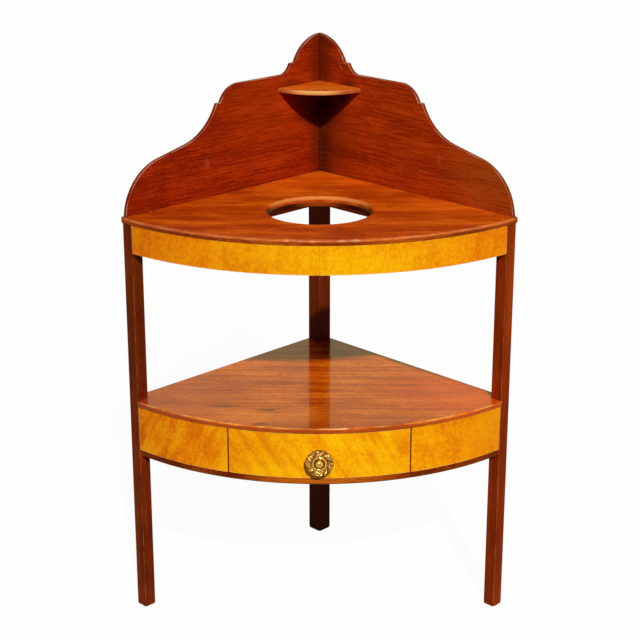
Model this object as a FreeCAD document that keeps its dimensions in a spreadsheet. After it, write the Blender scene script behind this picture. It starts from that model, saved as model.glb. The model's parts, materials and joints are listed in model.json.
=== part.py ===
import FreeCAD, Part
import Sketcher
import os
import re

# Corner washstand, millimetres, +Z up, front towards -Y.
# The stand is a quarter circle in plan. Two working frames share the outer back corner at the floor:
# the corner frame runs x along the left straight side and y along the right straight side,
# the front frame runs x straight forward to the middle of the bow and y to the right.

# Driving sizes
SIZES = {
    # plan and legs
    "side": 450.0,              # outer back corner to the end of a straight side, and radius of the bow
    "leg": 21.5,                # front leg, square
    "back_leg": 28.0,           # back leg, square
    "leg_round": 0.8,           # rounding of the leg arrises
    # top and upper frame
    "top_height": 702.0,        # floor to the surface of the top
    "top_thick": 10.0,
    "top_overhang": 3.0,        # top beyond the bow
    "nose_round": 4.4,          # rounding of the front edge of the top
    "basin_radius": 84.5,       # hole for the basin
    "basin_forward": 276.0,     # outer back corner to the middle of the hole
    "lip_round": 3.8,           # rounding of the upper edge of the hole
    "hoop_height": 8.0,         # hoop glued under the hole
    "hoop_width": 12.0,
    "apron_height": 48.5,
    "apron_thick": 18.0,        # core behind the veneer
    "veneer": 1.0,
    "rail_setback": 3.5,        # inner face of a rail behind the inner face of the front leg
    # tenons
    "tenon": 8.0,               # length of the rail tenons
    "tenon_inset": 4.0,         # outer face to tenon
    "tenon_thick": 6.0,
    "tenon_wall": 2.0,          # wood between two mortises in one leg
    "shoulder": 6.0,            # tenon shorter than its rail, above and below
    # drawer case
    "shelf_height": 387.0,      # floor to the surface of the lower shelf
    "shelf_thick": 8.5,
    "shelf_overhang": 2.5,
    "shelf_round": 3.0,
    "case_height": 79.5,        # between shelf and bottom board
    "bottom_thick": 12.0,
    "bottom_inset": 1.0,        # bottom board behind the bow
    "bottom_round": 4.0,
    "case_setback": 7.5,        # inner face of a case side behind the inner face of the front leg
    "panel_thick": 16.0,        # core of the fixed front panels
    "guide_thick": 10.0,
    # drawer
    "drawer_half": 147.5,       # half the width of the drawer
    "drawer_gap": 1.1,          # beside the drawer
    "top_gap": 0.9,             # above the drawer front
    "run_gap": 0.3,             # below the drawer
    "front_thick": 18.0,        # core of the drawer front
    "drawer_side": 8.0,
    "drawer_back": 8.0,
    "back_room": 12.0,          # behind the drawer
    "side_drop": 8.0,           # sides lower than the case opening
    "floor_rise": 6.5,          # drawer bottom above the lower edge of the sides
    "floor_thick": 5.0,
    "floor_groove": 4.0,        # drawer bottom into its grooves
    "tail_length": 10.0,        # dovetails into the drawer front
    "pin_wide": 11.7,           # wood between two dovetails at their root
    "pin_narrow": 7.7,          # wood between two dovetails at their tip
    "stop_room": 1.5,           # stops lower than the drawer bottom
    "stop_width": 30.0,
    "stop_deep": 14.0,
    "stop_spread": 70.0,        # middle of the front to a stop
    "stop_gap": 0.4,
    # knob
    "knob_rise": 33.5,          # knob axis above the case floor
    "knob_radius": 23.6,
    "foot_radius": 9.0,
    "foot_thick": 2.5,
    "neck_radius": 6.0,
    "neck_length": 6.5,
    "cup_depth": 4.5,           # neck to the back of the rim
    "rim_thick": 2.5,
    "crest_radius": 17.0,       # highest ring of the leaf border
    "crest_rise": 4.0,
    "dish_radius": 11.0,        # hollow ring inside the border
    "dish_depth": 3.0,
    "boss_radius": 8.3,
    "boss_rise": 3.5,
    "dome_rise": 3.5,
    "scallop_radius": 3.2,
    "scallop_depth": 1.6,
    "shank_radius": 3.0,
    "shank_deep": 11.0,         # shank inside the knob
    "shank_tail": 4.0,          # shank past the nut
    "nut_size": 14.0,
    "nut_thick": 4.0,
    # backsplash
    "splash_thick": 7.0,
    "splash_inset": 2.0,        # end of the backsplash behind the end of the side
    "arch_run": 67.0,           # half the arch in the corner
    "arch_rise": 44.0,
    "ledge_width": 10.5,        # small ledge under the arch
    "cove_run": 19.0,
    "cove_rise": 17.5,
    "cove_radius": 26.0,
    "step_run": 42.0,           # rounded end of the level stretch
    "step_rise": 28.0,
    "step_width": 8.5,          # small step under the level stretch
    "hollow_run": 70.0,         # hollow of the ogee
    "hollow_rise": 59.3,
    "hollow_radius": 101.0,
    "slope_run": 57.3,          # straight stretch between the hollow and the round
    "slope_rise": 13.2,
    "round_run": 72.4,          # round of the ogee
    "round_rise": 84.0,
    "round_radius": 93.5,
    # corner shelf
    "corner_radius": 107.0,
    "corner_thick": 8.0,
    "corner_drop": 22.0,        # surface below the level stretch of the backsplash
    "corner_round": 3.0,
    "corner_groove": 3.0,
    # blocks and fixings
    "block": 14.0,
    "block_length": 42.0,
    "block_inset": 60.0,        # ends of the rails to the blocks
    "case_block": 12.0,
    "case_block_room": 20.0,    # drawer guide to a block
    "screw_radius": 2.0,
    "head_radius": 4.0,
    "head_height": 2.6,
    "screw_clear": 0.15,
    "rail_counterbore": 26.0,
    "top_bite": 6.0,            # screws into the top
    "top_screw_inset": 45.0,    # ends of the rails to the screws
    "splash_bite": 18.0,        # screws into the backsplash
    "splash_screw_first": 100.0,
    "splash_screw_step": 120.0,
    "splash_screw_radius": 1.6,
    "splash_head_radius": 3.2,
    "splash_head_height": 2.2,
    "nail_radius": 0.8,
    "nail_head": 1.8,
    "nail_head_thick": 0.8,
    "nail_bite": 14.0,
    "nail_clear": 0.1,
    "nail_step": 100.0,
}
TAILS_FRONT = 3
TAILS_BACK = 2
SCALLOPS = 12
SPLASH_SCREWS = 3

# Places that several pieces share
TOP_UNDER = "(top_height - top_thick)"
APRON_FOOT = "(top_height - top_thick - apron_height)"
CASE_ROOF = "(shelf_height - shelf_thick)"
CASE_FLOOR = "(shelf_height - shelf_thick - case_height)"
CASE_FOOT = "(shelf_height - shelf_thick - case_height - bottom_thick)"
CORE_RADIUS = "(side - veneer)"
RAIL_END = "(side - leg)"
APRON_TENON_TIP = "(tenon_inset + tenon_thick + tenon_wall)"
RAIL_THICK = "(leg - rail_setback)"
CASE_THICK = "(leg - case_setback)"
OPENING_HALF = "(drawer_half + drawer_gap)"
GUIDE_HALF = "(drawer_half + drawer_gap + guide_thick)"
FRONT_INNER = "(side - veneer - front_thick)"
DRAWER_REAR = "(drawer_half + %s * sqrt(2) + back_room)" % CASE_THICK
DRAWER_FOOT = "(shelf_height - shelf_thick - case_height + run_gap)"
DRAWER_TOP = "(shelf_height - shelf_thick - side_drop)"
FLOOR_FOOT = "(shelf_height - shelf_thick - case_height + run_gap + floor_rise)"
FLOOR_TOP = "(shelf_height - shelf_thick - case_height + run_gap + floor_rise + floor_thick)"
KNOB_HEIGHT = "(shelf_height - shelf_thick - case_height + knob_rise)"
NECK_END = "(foot_thick + neck_length)"
KNOB_CREST = "(%s + cup_depth + rim_thick + crest_rise)" % NECK_END
KNOB_DISH = "(%s - dish_depth)" % KNOB_CREST
KNOB_REACH = "(%s + boss_rise + dome_rise)" % KNOB_DISH
SCREW_HOLE = "(screw_radius + screw_clear)"
SPLASH_SCREW_HOLE = "(splash_screw_radius + screw_clear)"
SHANK_HOLE = "(shank_radius + screw_clear)"
NUT_FACE = "sqrt((side - veneer - front_thick)^2 - nut_size^2 / 4)"
SPLASH_END = "(side - splash_inset)"
SPLASH_LAP = "(splash_thick / 2)"
STEP_LEVEL = "(top_height + round_rise + slope_rise + hollow_rise)"
SHOULDER_LEVEL = "(%s + step_rise)" % STEP_LEVEL
LEDGE_LEVEL = "(%s + cove_rise)" % SHOULDER_LEVEL
PEAK_LEVEL = "(%s + arch_rise)" % LEDGE_LEVEL
SHELF_INNER = "(splash_thick - corner_groove)"
CORNER_LOW = "(%s - corner_drop - corner_thick)" % SHOULDER_LEVEL

doc = FreeCAD.newDocument("corner_washstand")
sheet = doc.addObject("Spreadsheet::Sheet", "dims")
for row, (alias, size) in enumerate(SIZES.items(), start=1):
    sheet.set("A%d" % row, alias)
    sheet.set("B%d" % row, str(size))
    sheet.setAlias("B%d" % row, alias)
doc.recompute()

# Turn of each working frame about Z, in degrees
FRAME_TURN = {"corner": 225.0, "front": 270.0}
# Largest rounding of an edge, as a share of the thickness of its board
ROUND_SHARE = 0.45
TOLERANCE = 1e-4
subparts = []


# Sheet and placing helpers
def bound(formula):
    """A formula in the words of the sheet, as an expression on its cells."""
    return re.sub("[a-z_]+", lambda word: "dims." + word[0] if word[0] in SIZES else word[0], formula)


def size_of(formula):
    """The value of a formula with the sizes now in the sheet."""
    return float(sheet.evalExpression(bound(formula)))


def bind(target, path, formula):
    target.setExpression(path, bound(formula))


def stand(piece, label, frame):
    """Name a sub-part and turn it from its working frame into the frame of the object."""
    piece.Label = label
    turn = FreeCAD.Rotation(FreeCAD.Vector(0, 0, 1), FRAME_TURN[frame])
    piece.Placement = FreeCAD.Placement(FreeCAD.Vector(0, 0, 0), turn)
    bind(piece, "Placement.Base.y", "(side + %s) / 2" % KNOB_REACH)
    subparts.append(piece)
    return piece


def new_body(label, frame):
    return stand(doc.addObject("PartDesign::Body", label), label, frame)


# Sketch helpers
def new_sketch(body, role, offset=("0", "0", "0")):
    sketch = body.newObject("Sketcher::SketchObject", body.Name + "_sketch")
    plane = [feature for feature in body.Origin.OriginFeatures if feature.Role == role][0]
    sketch.AttachmentSupport = [(plane, "")]
    sketch.MapMode = "FlatFace"
    for axis, formula in zip("xyz", offset):
        if formula != "0":
            bind(sketch, "AttachmentOffset.Base." + axis, formula)
    return sketch


def fix_point(sketch, geometry, position, point):
    """Hold a point of a sketch at two formulas."""
    for kind, axis, formula in (("DistanceX", -2, point[0]), ("DistanceY", -1, point[1])):
        if formula == "0":
            sketch.addConstraint(Sketcher.Constraint("PointOnObject", geometry, position, axis))
        else:
            place = size_of(formula)
            index = sketch.addConstraint(Sketcher.Constraint(kind, -1, 1, geometry, position, place))
            bind(sketch, "Constraints[%d]" % index, formula)


def arc_between(start, end, radius, turn):
    """Arc under a half circle; turn is 1 where it bends to the left of its way, -1 to the right."""
    chord = end - start
    middle = start + chord * 0.5
    left = FreeCAD.Vector(-chord.y, chord.x, 0).normalize()
    centre = middle + left * (turn * (radius**2 - (chord.Length / 2) ** 2) ** 0.5)
    circle = Part.Circle(centre, FreeCAD.Vector(0, 0, 1), radius)
    first, last = (start, end) if turn > 0 else (end, start)
    return Part.ArcOfCircle(circle, circle.parameter(first), circle.parameter(last))


def outline(sketch, corners, swap=False):
    """Closed outline. A corner is (x, y), or (x, y, radius, turn) where an arc leads to the next corner."""
    if swap:
        corners = [(c[1], c[0]) if len(c) == 2 else (c[1], c[0], c[2], -c[3]) for c in corners]
    spots = [FreeCAD.Vector(size_of(c[0]), size_of(c[1]), 0) for c in corners]
    ends = []
    for number, corner in enumerate(corners):
        start = spots[number]
        end = spots[(number + 1) % len(corners)]
        if len(corner) == 2:
            geometry = sketch.addGeometry(Part.LineSegment(start, end))
            ends.append((geometry, 1, 2))
        else:
            geometry = sketch.addGeometry(arc_between(start, end, size_of(corner[2]), corner[3]))
            ends.append((geometry, 1, 2) if corner[3] > 0 else (geometry, 2, 1))
    for number, (geometry, first, last) in enumerate(ends):
        following, next_first, next_last = ends[(number + 1) % len(ends)]
        sketch.addConstraint(Sketcher.Constraint("Coincident", geometry, last, following, next_first))
    for (geometry, first, last), corner in zip(ends, corners):
        fix_point(sketch, geometry, first, corner[:2])
        if len(corner) == 4:
            radius = size_of(corner[2])
            index = sketch.addConstraint(Sketcher.Constraint("Radius", geometry, radius))
            bind(sketch, "Constraints[%d]" % index, corner[2])


def rectangle(sketch, left, low, right, high, swap=False):
    outline(sketch, [(left, low), (right, low), (right, high), (left, high)], swap)


def circle(sketch, centre, radius):
    middle = FreeCAD.Vector(size_of(centre[0]), size_of(centre[1]), 0)
    geometry = sketch.addGeometry(Part.Circle(middle, FreeCAD.Vector(0, 0, 1), size_of(radius)))
    fix_point(sketch, geometry, 3, centre)
    index = sketch.addConstraint(Sketcher.Constraint("Radius", geometry, size_of(radius)))
    bind(sketch, "Constraints[%d]" % index, radius)


# Solid helpers
def extrude(kind, sketch, length, backwards=False):
    """Pad or pocket a sketch. A pocket has to take wood away."""
    body = sketch.getParentGeoFeatureGroup()
    before = 0.0
    if kind == "Pocket":
        doc.recompute()
        before = body.Shape.Volume
    feature = body.newObject("PartDesign::" + kind, body.Name + "_" + kind.lower())
    feature.Profile = sketch
    bind(feature, "Length", length)
    feature.Reversed = backwards
    sketch.Visibility = False
    if kind == "Pocket":
        doc.recompute()
        if body.Shape.Volume >= before - TOLERANCE:
            raise RuntimeError(body.Label + ": a pocket cuts nothing")
    return feature


def slab(body, corners, low, height, swap=False):
    """Upright prism over a plan outline."""
    sketch = new_sketch(body, "XY_Plane", ("0", "0", low))
    outline(sketch, corners, swap)
    return extrude("Pad", sketch, height)


def block(body, left, near, right, far, low, height, swap=False):
    corners = [(left, near), (right, near), (right, far), (left, far)]
    return slab(body, corners, low, height, swap)


def mortise(body, left, near, right, far, low, height, swap=False):
    """Upright rectangular pocket from low over height."""
    sketch = new_sketch(body, "XY_Plane", ("0", "0", low))
    rectangle(sketch, left, near, right, far, swap)
    extrude("Pocket", sketch, height, backwards=True)


def bore(body, spots, radius, low, depth):
    """Round holes upward from low."""
    sketch = new_sketch(body, "XY_Plane", ("0", "0", low))
    for spot in spots:
        circle(sketch, spot, radius)
    extrude("Pocket", sketch, depth, backwards=True)


def round_edges(body, radius, chosen):
    doc.recompute()
    base = body.Tip
    names = ["Edge%d" % number for number, edge in enumerate(base.Shape.Edges, start=1) if chosen(edge)]
    if not names:
        raise RuntimeError(body.Label + ": no edge to round")
    feature = body.newObject("PartDesign::Fillet", body.Name + "_round")
    feature.Base = (base, names)
    bind(feature, "Radius", radius)


def eased(radius, thick):
    """A rounding, limited by the thickness of its board."""
    return "min(%s; %s * %s)" % (radius, thick, ROUND_SHARE)


def is_upright(edge):
    start, end = edge.Vertexes[0].Point, edge.Vertexes[-1].Point
    return abs(start.x - end.x) + abs(start.y - end.y) < TOLERANCE


def arc_at(radius, *heights):
    """Chooses the level arcs of one radius at the given heights."""
    wanted = size_of(radius)
    levels = [size_of(height) for height in heights]

    def chosen(edge):
        if not isinstance(edge.Curve, Part.Circle) or abs(edge.Curve.Radius - wanted) > TOLERANCE:
            return False
        return any(abs(edge.CenterOfMass.z - level) < TOLERANCE for level in levels)

    return chosen


def primitive(kind, name, sizes, place):
    """Part primitive with bound sizes at a bound place."""
    piece = doc.addObject("Part::" + kind, name)
    for property_name, formula in sizes.items():
        bind(piece, property_name, formula)
    for axis, formula in zip("xyz", place):
        bind(piece, "Placement.Base." + axis, formula)
    return piece


def group(label, pieces, frame):
    compound = doc.addObject("Part::Compound", label)
    compound.Links = pieces
    return stand(compound, label, frame)


def on_circle(radius, distance):
    """How far out a circle about the corner is, at a distance from the axis."""
    return "sqrt(%s^2 - (%s)^2)" % (radius, distance)


def bow_spot(radius, lateral):
    """Point of the bow on the left, at a distance beside the middle line, in the corner frame."""
    forward = on_circle(radius, lateral)
    return "(%s + %s) / sqrt(2)" % (forward, lateral), "(%s - %s) / sqrt(2)" % (forward, lateral)


# Legs: square posts with mortises for the rails, the apron, the case sides and the front panels
TENON_LEVELS = (
    (APRON_FOOT + " + shoulder", "apron_height - 2 * shoulder"),
    (CASE_FLOOR + " + shoulder", "case_height - 2 * shoulder"),
)


def bow_tenon_span(core_thick):
    """Inner and outer edge of the tenon at the end of a bowed core, along the straight side."""
    return "(side - veneer - %s + tenon_inset)" % core_thick, "(side - veneer - tenon_inset)"


def front_leg(label, swap):
    body = new_body(label, "corner")
    block(body, RAIL_END, "0", "side", "leg", "0", TOP_UNDER, swap)
    round_edges(body, "leg_round", is_upright)
    for (low, height), core in zip(TENON_LEVELS, ("apron_thick", "panel_thick")):
        rail_hole = (RAIL_END, "tenon_inset", RAIL_END + " + tenon", "tenon_inset + tenon_thick")
        mortise(body, *rail_hole, low, height, swap)
        inner, outer = bow_tenon_span(core)
        mortise(body, inner, APRON_TENON_TIP, outer, "leg", low, height, swap)


def back_leg():
    body = new_body("leg_back", "corner")
    block(body, "0", "0", "back_leg", "back_leg", "0", TOP_UNDER)
    round_edges(body, "leg_round", is_upright)
    for low, height in TENON_LEVELS:
        for swap in (False, True):
            inset = ("back_leg - tenon", "tenon_inset", "back_leg", "tenon_inset + tenon_thick")
            mortise(body, *inset, low, height, swap)


front_leg("leg_front_left", False)
front_leg("leg_front_right", True)
back_leg()


# Straight rails and case sides, tenoned into the legs
def straight_rail(label, thick, foot, height, swap):
    body = new_body(label, "corner")
    block(body, "back_leg", "0", RAIL_END, thick, foot, height, swap)
    tenon_span = ("back_leg - tenon", "tenon_inset", RAIL_END + " + tenon", "tenon_inset + tenon_thick")
    block(body, *tenon_span, foot + " + shoulder", height + " - 2 * shoulder", swap)
    return body


TOP_SCREW_SPOTS = [
    ("back_leg + top_screw_inset", RAIL_THICK + " / 2"),
    (RAIL_END + " - top_screw_inset", RAIL_THICK + " / 2"),
]


def top_rail(label, swap):
    body = straight_rail(label, RAIL_THICK, APRON_FOOT, "apron_height", swap)
    spots = [(across, along) for along, across in TOP_SCREW_SPOTS] if swap else TOP_SCREW_SPOTS
    bore(body, spots, "head_radius + screw_clear", APRON_FOOT, "rail_counterbore")
    bore(body, spots, SCREW_HOLE, APRON_FOOT, "apron_height")


top_rail("top_rail_left", False)
top_rail("top_rail_right", True)
straight_rail("case_side_left", CASE_THICK, CASE_FLOOR, "case_height", False)
straight_rail("case_side_right", CASE_THICK, CASE_FLOOR, "case_height", True)


# Bowed apron: a core tenoned into the front legs, with two leaves of veneer
def bow_tenon(body, core, low, height, swap):
    inner, outer = bow_tenon_span(core)
    block(body, inner, APRON_TENON_TIP, outer, "leg + tenon", low, height, swap)


def apron_core():
    body = new_body("apron_core", "corner")
    inner = "(side - veneer - apron_thick)"
    corners = [
        (on_circle(CORE_RADIUS, "leg"), "leg", CORE_RADIUS, 1),
        ("leg", on_circle(CORE_RADIUS, "leg")),
        ("leg", on_circle(inner, "leg"), inner, -1),
        (on_circle(inner, "leg"), "leg"),
    ]
    slab(body, corners, APRON_FOOT, "apron_height")
    low, height = TENON_LEVELS[0]
    for swap in (False, True):
        bow_tenon(body, "apron_thick", low, height, swap)


def apron_veneer(label, swap):
    body = new_body(label, "corner")
    corners = [
        (on_circle("side", "leg"), "leg", "side", 1),
        ("side / sqrt(2)", "side / sqrt(2)"),
        (CORE_RADIUS + " / sqrt(2)", CORE_RADIUS + " / sqrt(2)", CORE_RADIUS, -1),
        (on_circle(CORE_RADIUS, "leg"), "leg"),
    ]
    slab(body, corners, APRON_FOOT, "apron_height", swap)


apron_core()
apron_veneer("apron_veneer_left", False)
apron_veneer("apron_veneer_right", True)

# Top board: a quadrant with a rounded nosing and the basin hole
TOP_RADIUS = "(side + top_overhang)"
BASIN_SPOT = ("basin_forward / sqrt(2)", "basin_forward / sqrt(2)")
SPLASH_SCREW_SPOTS = [
    ("splash_screw_first + %d * splash_screw_step" % number, "splash_thick / 2")
    for number in range(SPLASH_SCREWS)
]


def both_sides(spots):
    """Spots beside the left straight side, and the same spots beside the right one."""
    return spots + [(across, along) for along, across in spots]


def top_board():
    body = new_body("top_board", "corner")
    slab(body, [("0", "0"), (TOP_RADIUS, "0", TOP_RADIUS, 1), ("0", TOP_RADIUS)], TOP_UNDER, "top_thick")
    bore(body, [BASIN_SPOT], "basin_radius", TOP_UNDER, "top_thick")
    round_edges(body, eased("nose_round", "top_thick"), arc_at(TOP_RADIUS, TOP_UNDER, "top_height"))
    round_edges(body, eased("lip_round", "top_thick"), arc_at("basin_radius", "top_height"))
    bore(body, both_sides(TOP_SCREW_SPOTS), SCREW_HOLE, TOP_UNDER, "top_bite + screw_clear")
    splash_spots = both_sides(SPLASH_SCREW_SPOTS)
    bore(body, splash_spots, "splash_head_radius + screw_clear", TOP_UNDER, "splash_head_height")
    bore(body, splash_spots, SPLASH_SCREW_HOLE, TOP_UNDER, "top_thick")


def basin_hoop():
    """Hoop under the top that stiffens the board round the hole."""
    body = new_body("basin_hoop", "corner")
    sketch = new_sketch(body, "XY_Plane", ("0", "0", TOP_UNDER + " - hoop_height"))
    circle(sketch, BASIN_SPOT, "basin_radius")
    circle(sketch, BASIN_SPOT, "basin_radius + hoop_width")
    extrude("Pad", sketch, "hoop_height")


top_board()
basin_hoop()

# Backsplash: two boards on the straight sides of the top, lapped in the corner
ARCH_RADIUS = "((arch_run^2 + arch_rise^2) / (2 * arch_rise))"
STEP_RADIUS = "((step_run^2 + step_rise^2) / (2 * step_rise))"
SLOPE_FOOT = "(side - splash_inset - round_run)"
SLOPE_HEAD = "(side - splash_inset - round_run - slope_run)"
STEP_OUT = "(side - splash_inset - round_run - slope_run - hollow_run)"


def splash_profile(start):
    """Outline of one board from its corner end, along the board and up."""
    arch_start = "%s - %s + %s" % (PEAK_LEVEL, ARCH_RADIUS, on_circle(ARCH_RADIUS, start))
    return [
        (start, "top_height"),
        (SPLASH_END, "top_height", "round_radius", 1),
        (SLOPE_FOOT, "top_height + round_rise"),
        (SLOPE_HEAD, "top_height + round_rise + slope_rise", "hollow_radius", -1),
        (STEP_OUT, STEP_LEVEL),
        (STEP_OUT + " - step_width", STEP_LEVEL, STEP_RADIUS, 1),
        (STEP_OUT + " - step_width - step_run", SHOULDER_LEVEL),
        ("arch_run + ledge_width + cove_run", SHOULDER_LEVEL, "cove_radius", -1),
        ("arch_run + ledge_width", LEDGE_LEVEL),
        ("arch_run", LEDGE_LEVEL, ARCH_RADIUS, 1),
        (start, arch_start),
    ]


CORNER_REACH = on_circle("corner_radius", SHELF_INNER)


def splash_left():
    body = new_body("splash_left", "corner")
    sketch = new_sketch(body, "XZ_Plane")
    outline(sketch, splash_profile("0"))
    extrude("Pad", sketch, "splash_thick", backwards=True)
    rebate = ("0", SPLASH_LAP, "splash_thick", "splash_thick")
    mortise(body, *rebate, "top_height", PEAK_LEVEL + " - top_height")
    groove = ("splash_thick", SHELF_INNER, CORNER_REACH, "splash_thick")
    mortise(body, *groove, CORNER_LOW, "corner_thick")
    bore(body, SPLASH_SCREW_SPOTS, SPLASH_SCREW_HOLE, "top_height", "splash_bite + screw_clear")


def splash_right():
    body = new_body("splash_right", "corner")
    sketch = new_sketch(body, "YZ_Plane")
    outline(sketch, splash_profile(SPLASH_LAP))
    extrude("Pad", sketch, "splash_thick")
    groove = (SHELF_INNER, SHELF_INNER, "splash_thick", CORNER_REACH)
    mortise(body, *groove, CORNER_LOW, "corner_thick")
    spots = [(across, along) for along, across in SPLASH_SCREW_SPOTS]
    bore(body, spots, SPLASH_SCREW_HOLE, "top_height", "splash_bite + screw_clear")


def corner_shelf():
    body = new_body("corner_shelf", "corner")
    corners = [
        (SHELF_INNER, SHELF_INNER),
        (CORNER_REACH, SHELF_INNER, "corner_radius", 1),
        (SHELF_INNER, CORNER_REACH),
    ]
    slab(body, corners, CORNER_LOW, "corner_thick")
    levels = (CORNER_LOW, CORNER_LOW + " + corner_thick")
    round_edges(body, eased("corner_round", "corner_thick"), arc_at("corner_radius", *levels))


splash_left()
splash_right()
corner_shelf()


# Lower shelf and bottom board: quadrants notched round the three legs
def notched_board(label, radius, low, thick):
    body = new_body(label, "corner")
    corners = [
        ("back_leg", "0"),
        (RAIL_END, "0"),
        (RAIL_END, "leg"),
        (on_circle(radius, "leg"), "leg", radius, 1),
        ("leg", on_circle(radius, "leg")),
        ("leg", RAIL_END),
        ("0", RAIL_END),
        ("0", "back_leg"),
        ("back_leg", "back_leg"),
    ]
    slab(body, corners, low, thick)
    return body


def shelf_board():
    radius = "(side + shelf_overhang)"
    body = notched_board("shelf_board", radius, CASE_ROOF, "shelf_thick")
    round_edges(body, eased("shelf_round", "shelf_thick"), arc_at(radius, CASE_ROOF, "shelf_height"))


def bottom_board():
    radius = "(side - bottom_inset)"
    body = notched_board("bottom_board", radius, CASE_FOOT, "bottom_thick")
    round_edges(body, eased("bottom_round", "bottom_thick"), arc_at(radius, CASE_FOOT))


shelf_board()
bottom_board()


# Fixed front panels beside the drawer, with their veneers
def panel_corners(outer, inner):
    return [
        (on_circle(outer, "leg"), "leg", outer, 1),
        bow_spot(outer, OPENING_HALF),
        bow_spot(inner, OPENING_HALF) + (inner, -1),
        (on_circle(inner, "leg"), "leg"),
    ]


def front_panel(label, swap):
    body = new_body(label, "corner")
    inner = "(side - veneer - panel_thick)"
    slab(body, panel_corners(CORE_RADIUS, inner), CASE_FLOOR, "case_height", swap)
    low, height = TENON_LEVELS[1]
    bow_tenon(body, "panel_thick", low, height, swap)


def panel_veneer(label, swap):
    body = new_body(label, "corner")
    slab(body, panel_corners("side", CORE_RADIUS), CASE_FLOOR, "case_height", swap)


front_panel("front_panel_left", False)
front_panel("front_panel_right", True)
panel_veneer("panel_veneer_left", False)
panel_veneer("panel_veneer_right", True)


# Drawer guides: uprights from the back of the front panels to the case sides
def drawer_guide(label, sign):
    body = new_body(label, "front")
    inner = "(side - veneer - panel_thick)"
    corners = [
        (CASE_THICK + " * sqrt(2) + " + OPENING_HALF, sign + OPENING_HALF),
        (on_circle(inner, OPENING_HALF), sign + OPENING_HALF, inner, -1 if sign else 1),
        (on_circle(inner, GUIDE_HALF), sign + GUIDE_HALF),
        (CASE_THICK + " * sqrt(2) + " + GUIDE_HALF, sign + GUIDE_HALF),
    ]
    slab(body, corners, CASE_FLOOR, "case_height")


drawer_guide("drawer_guide_left", "-")
drawer_guide("drawer_guide_right", "")


# Drawer stops on the bottom board, just behind the drawer front
def drawer_stops():
    outer_edge = "(stop_spread + stop_width / 2)"
    front_face = "(%s - stop_gap)" % on_circle(FRONT_INNER, outer_edge)
    sizes = {"Length": "stop_deep", "Width": "stop_width", "Height": "floor_rise - stop_room"}
    pieces = []
    for name, near in (("stop_left", "-" + outer_edge), ("stop_right", "stop_spread - stop_width / 2")):
        pieces.append(primitive("Box", name, sizes, (front_face + " - stop_deep", near, CASE_FLOOR)))
    group("drawer_stops", pieces, "front")


drawer_stops()

# Drawer front: a bowed core with veneer, lapped dovetails and a groove for the drawer bottom
FRONT_HEIGHT = "(case_height - run_gap - top_gap)"
FRONT_SHOULDER = on_circle(FRONT_INNER, "drawer_half")
TAIL_PITCH = "((%s - %s) / %d)" % (DRAWER_TOP, DRAWER_FOOT, TAILS_FRONT)
BACK_PITCH = "((%s - %s) / %d)" % (DRAWER_TOP, FLOOR_TOP, TAILS_BACK)


def bow_strip(outer, inner):
    """Plan of a bowed strip as wide as the drawer, in the front frame."""
    return [
        (on_circle(outer, "drawer_half"), "-drawer_half", outer, 1),
        (on_circle(outer, "drawer_half"), "drawer_half"),
        (on_circle(inner, "drawer_half"), "drawer_half", inner, -1),
        (on_circle(inner, "drawer_half"), "-drawer_half"),
    ]


def tail_corners(root, tip, foot, pitch, number):
    """One dovetail, counted from the lowest, along the drawer and up."""
    low = "%s + %s * %d" % (foot, pitch, number)
    high = "%s + %s * %d" % (foot, pitch, number + 1)
    return [
        (root, low + " + pin_wide / 2"),
        (tip, low + " + pin_narrow / 2"),
        (tip, high + " - pin_narrow / 2"),
        (root, high + " - pin_wide / 2"),
    ]


FRONT_TAILS = [
    tail_corners(FRONT_SHOULDER, FRONT_SHOULDER + " + tail_length", DRAWER_FOOT, TAIL_PITCH, number)
    for number in range(TAILS_FRONT)
]
BACK_TAILS = [
    tail_corners(DRAWER_REAR + " + drawer_back", DRAWER_REAR, FLOOR_TOP, BACK_PITCH, number)
    for number in range(TAILS_BACK)
]


def tails(kind, body, tail_row, on_left):
    """Dovetails through one drawer side: added to the side, or cut from what it joins."""
    sketch = new_sketch(body, "XZ_Plane", ("0", "0", "drawer_half" if on_left else "-drawer_half"))
    for corners in tail_row:
        outline(sketch, corners)
    extrude(kind, sketch, "drawer_side", backwards=on_left == (kind == "Pad"))


def floor_outline():
    """Plan of the drawer bottom, in its grooves."""
    half = "(drawer_half - drawer_side + floor_groove)"
    radius = "(side - veneer - front_thick + floor_groove)"
    return [
        (DRAWER_REAR, "-" + half),
        (on_circle(radius, half), "-" + half, radius, 1),
        (on_circle(radius, half), half),
        (DRAWER_REAR, half),
    ]


def cut_floor_groove(body):
    sketch = new_sketch(body, "XY_Plane", ("0", "0", FLOOR_FOOT))
    outline(sketch, floor_outline())
    extrude("Pocket", sketch, "floor_thick", backwards=True)


def bore_forward(body, radius, start, length):
    """Hole for the shank of the knob, forward from start."""
    sketch = new_sketch(body, "YZ_Plane", ("0", KNOB_HEIGHT, start))
    circle(sketch, ("0", "0"), radius)
    extrude("Pocket", sketch, length, backwards=True)


def drawer_front():
    body = new_body("drawer_front", "front")
    slab(body, bow_strip(CORE_RADIUS, FRONT_INNER), DRAWER_FOOT, FRONT_HEIGHT)
    for on_left in (True, False):
        tails("Pocket", body, FRONT_TAILS, on_left)
    cut_floor_groove(body)
    bore_forward(body, SHANK_HOLE, NUT_FACE, "side - " + NUT_FACE)


def drawer_veneer():
    body = new_body("drawer_veneer", "front")
    slab(body, bow_strip("side", CORE_RADIUS), DRAWER_FOOT, FRONT_HEIGHT)
    bore_forward(body, SHANK_HOLE, NUT_FACE, "side - " + NUT_FACE)


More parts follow.
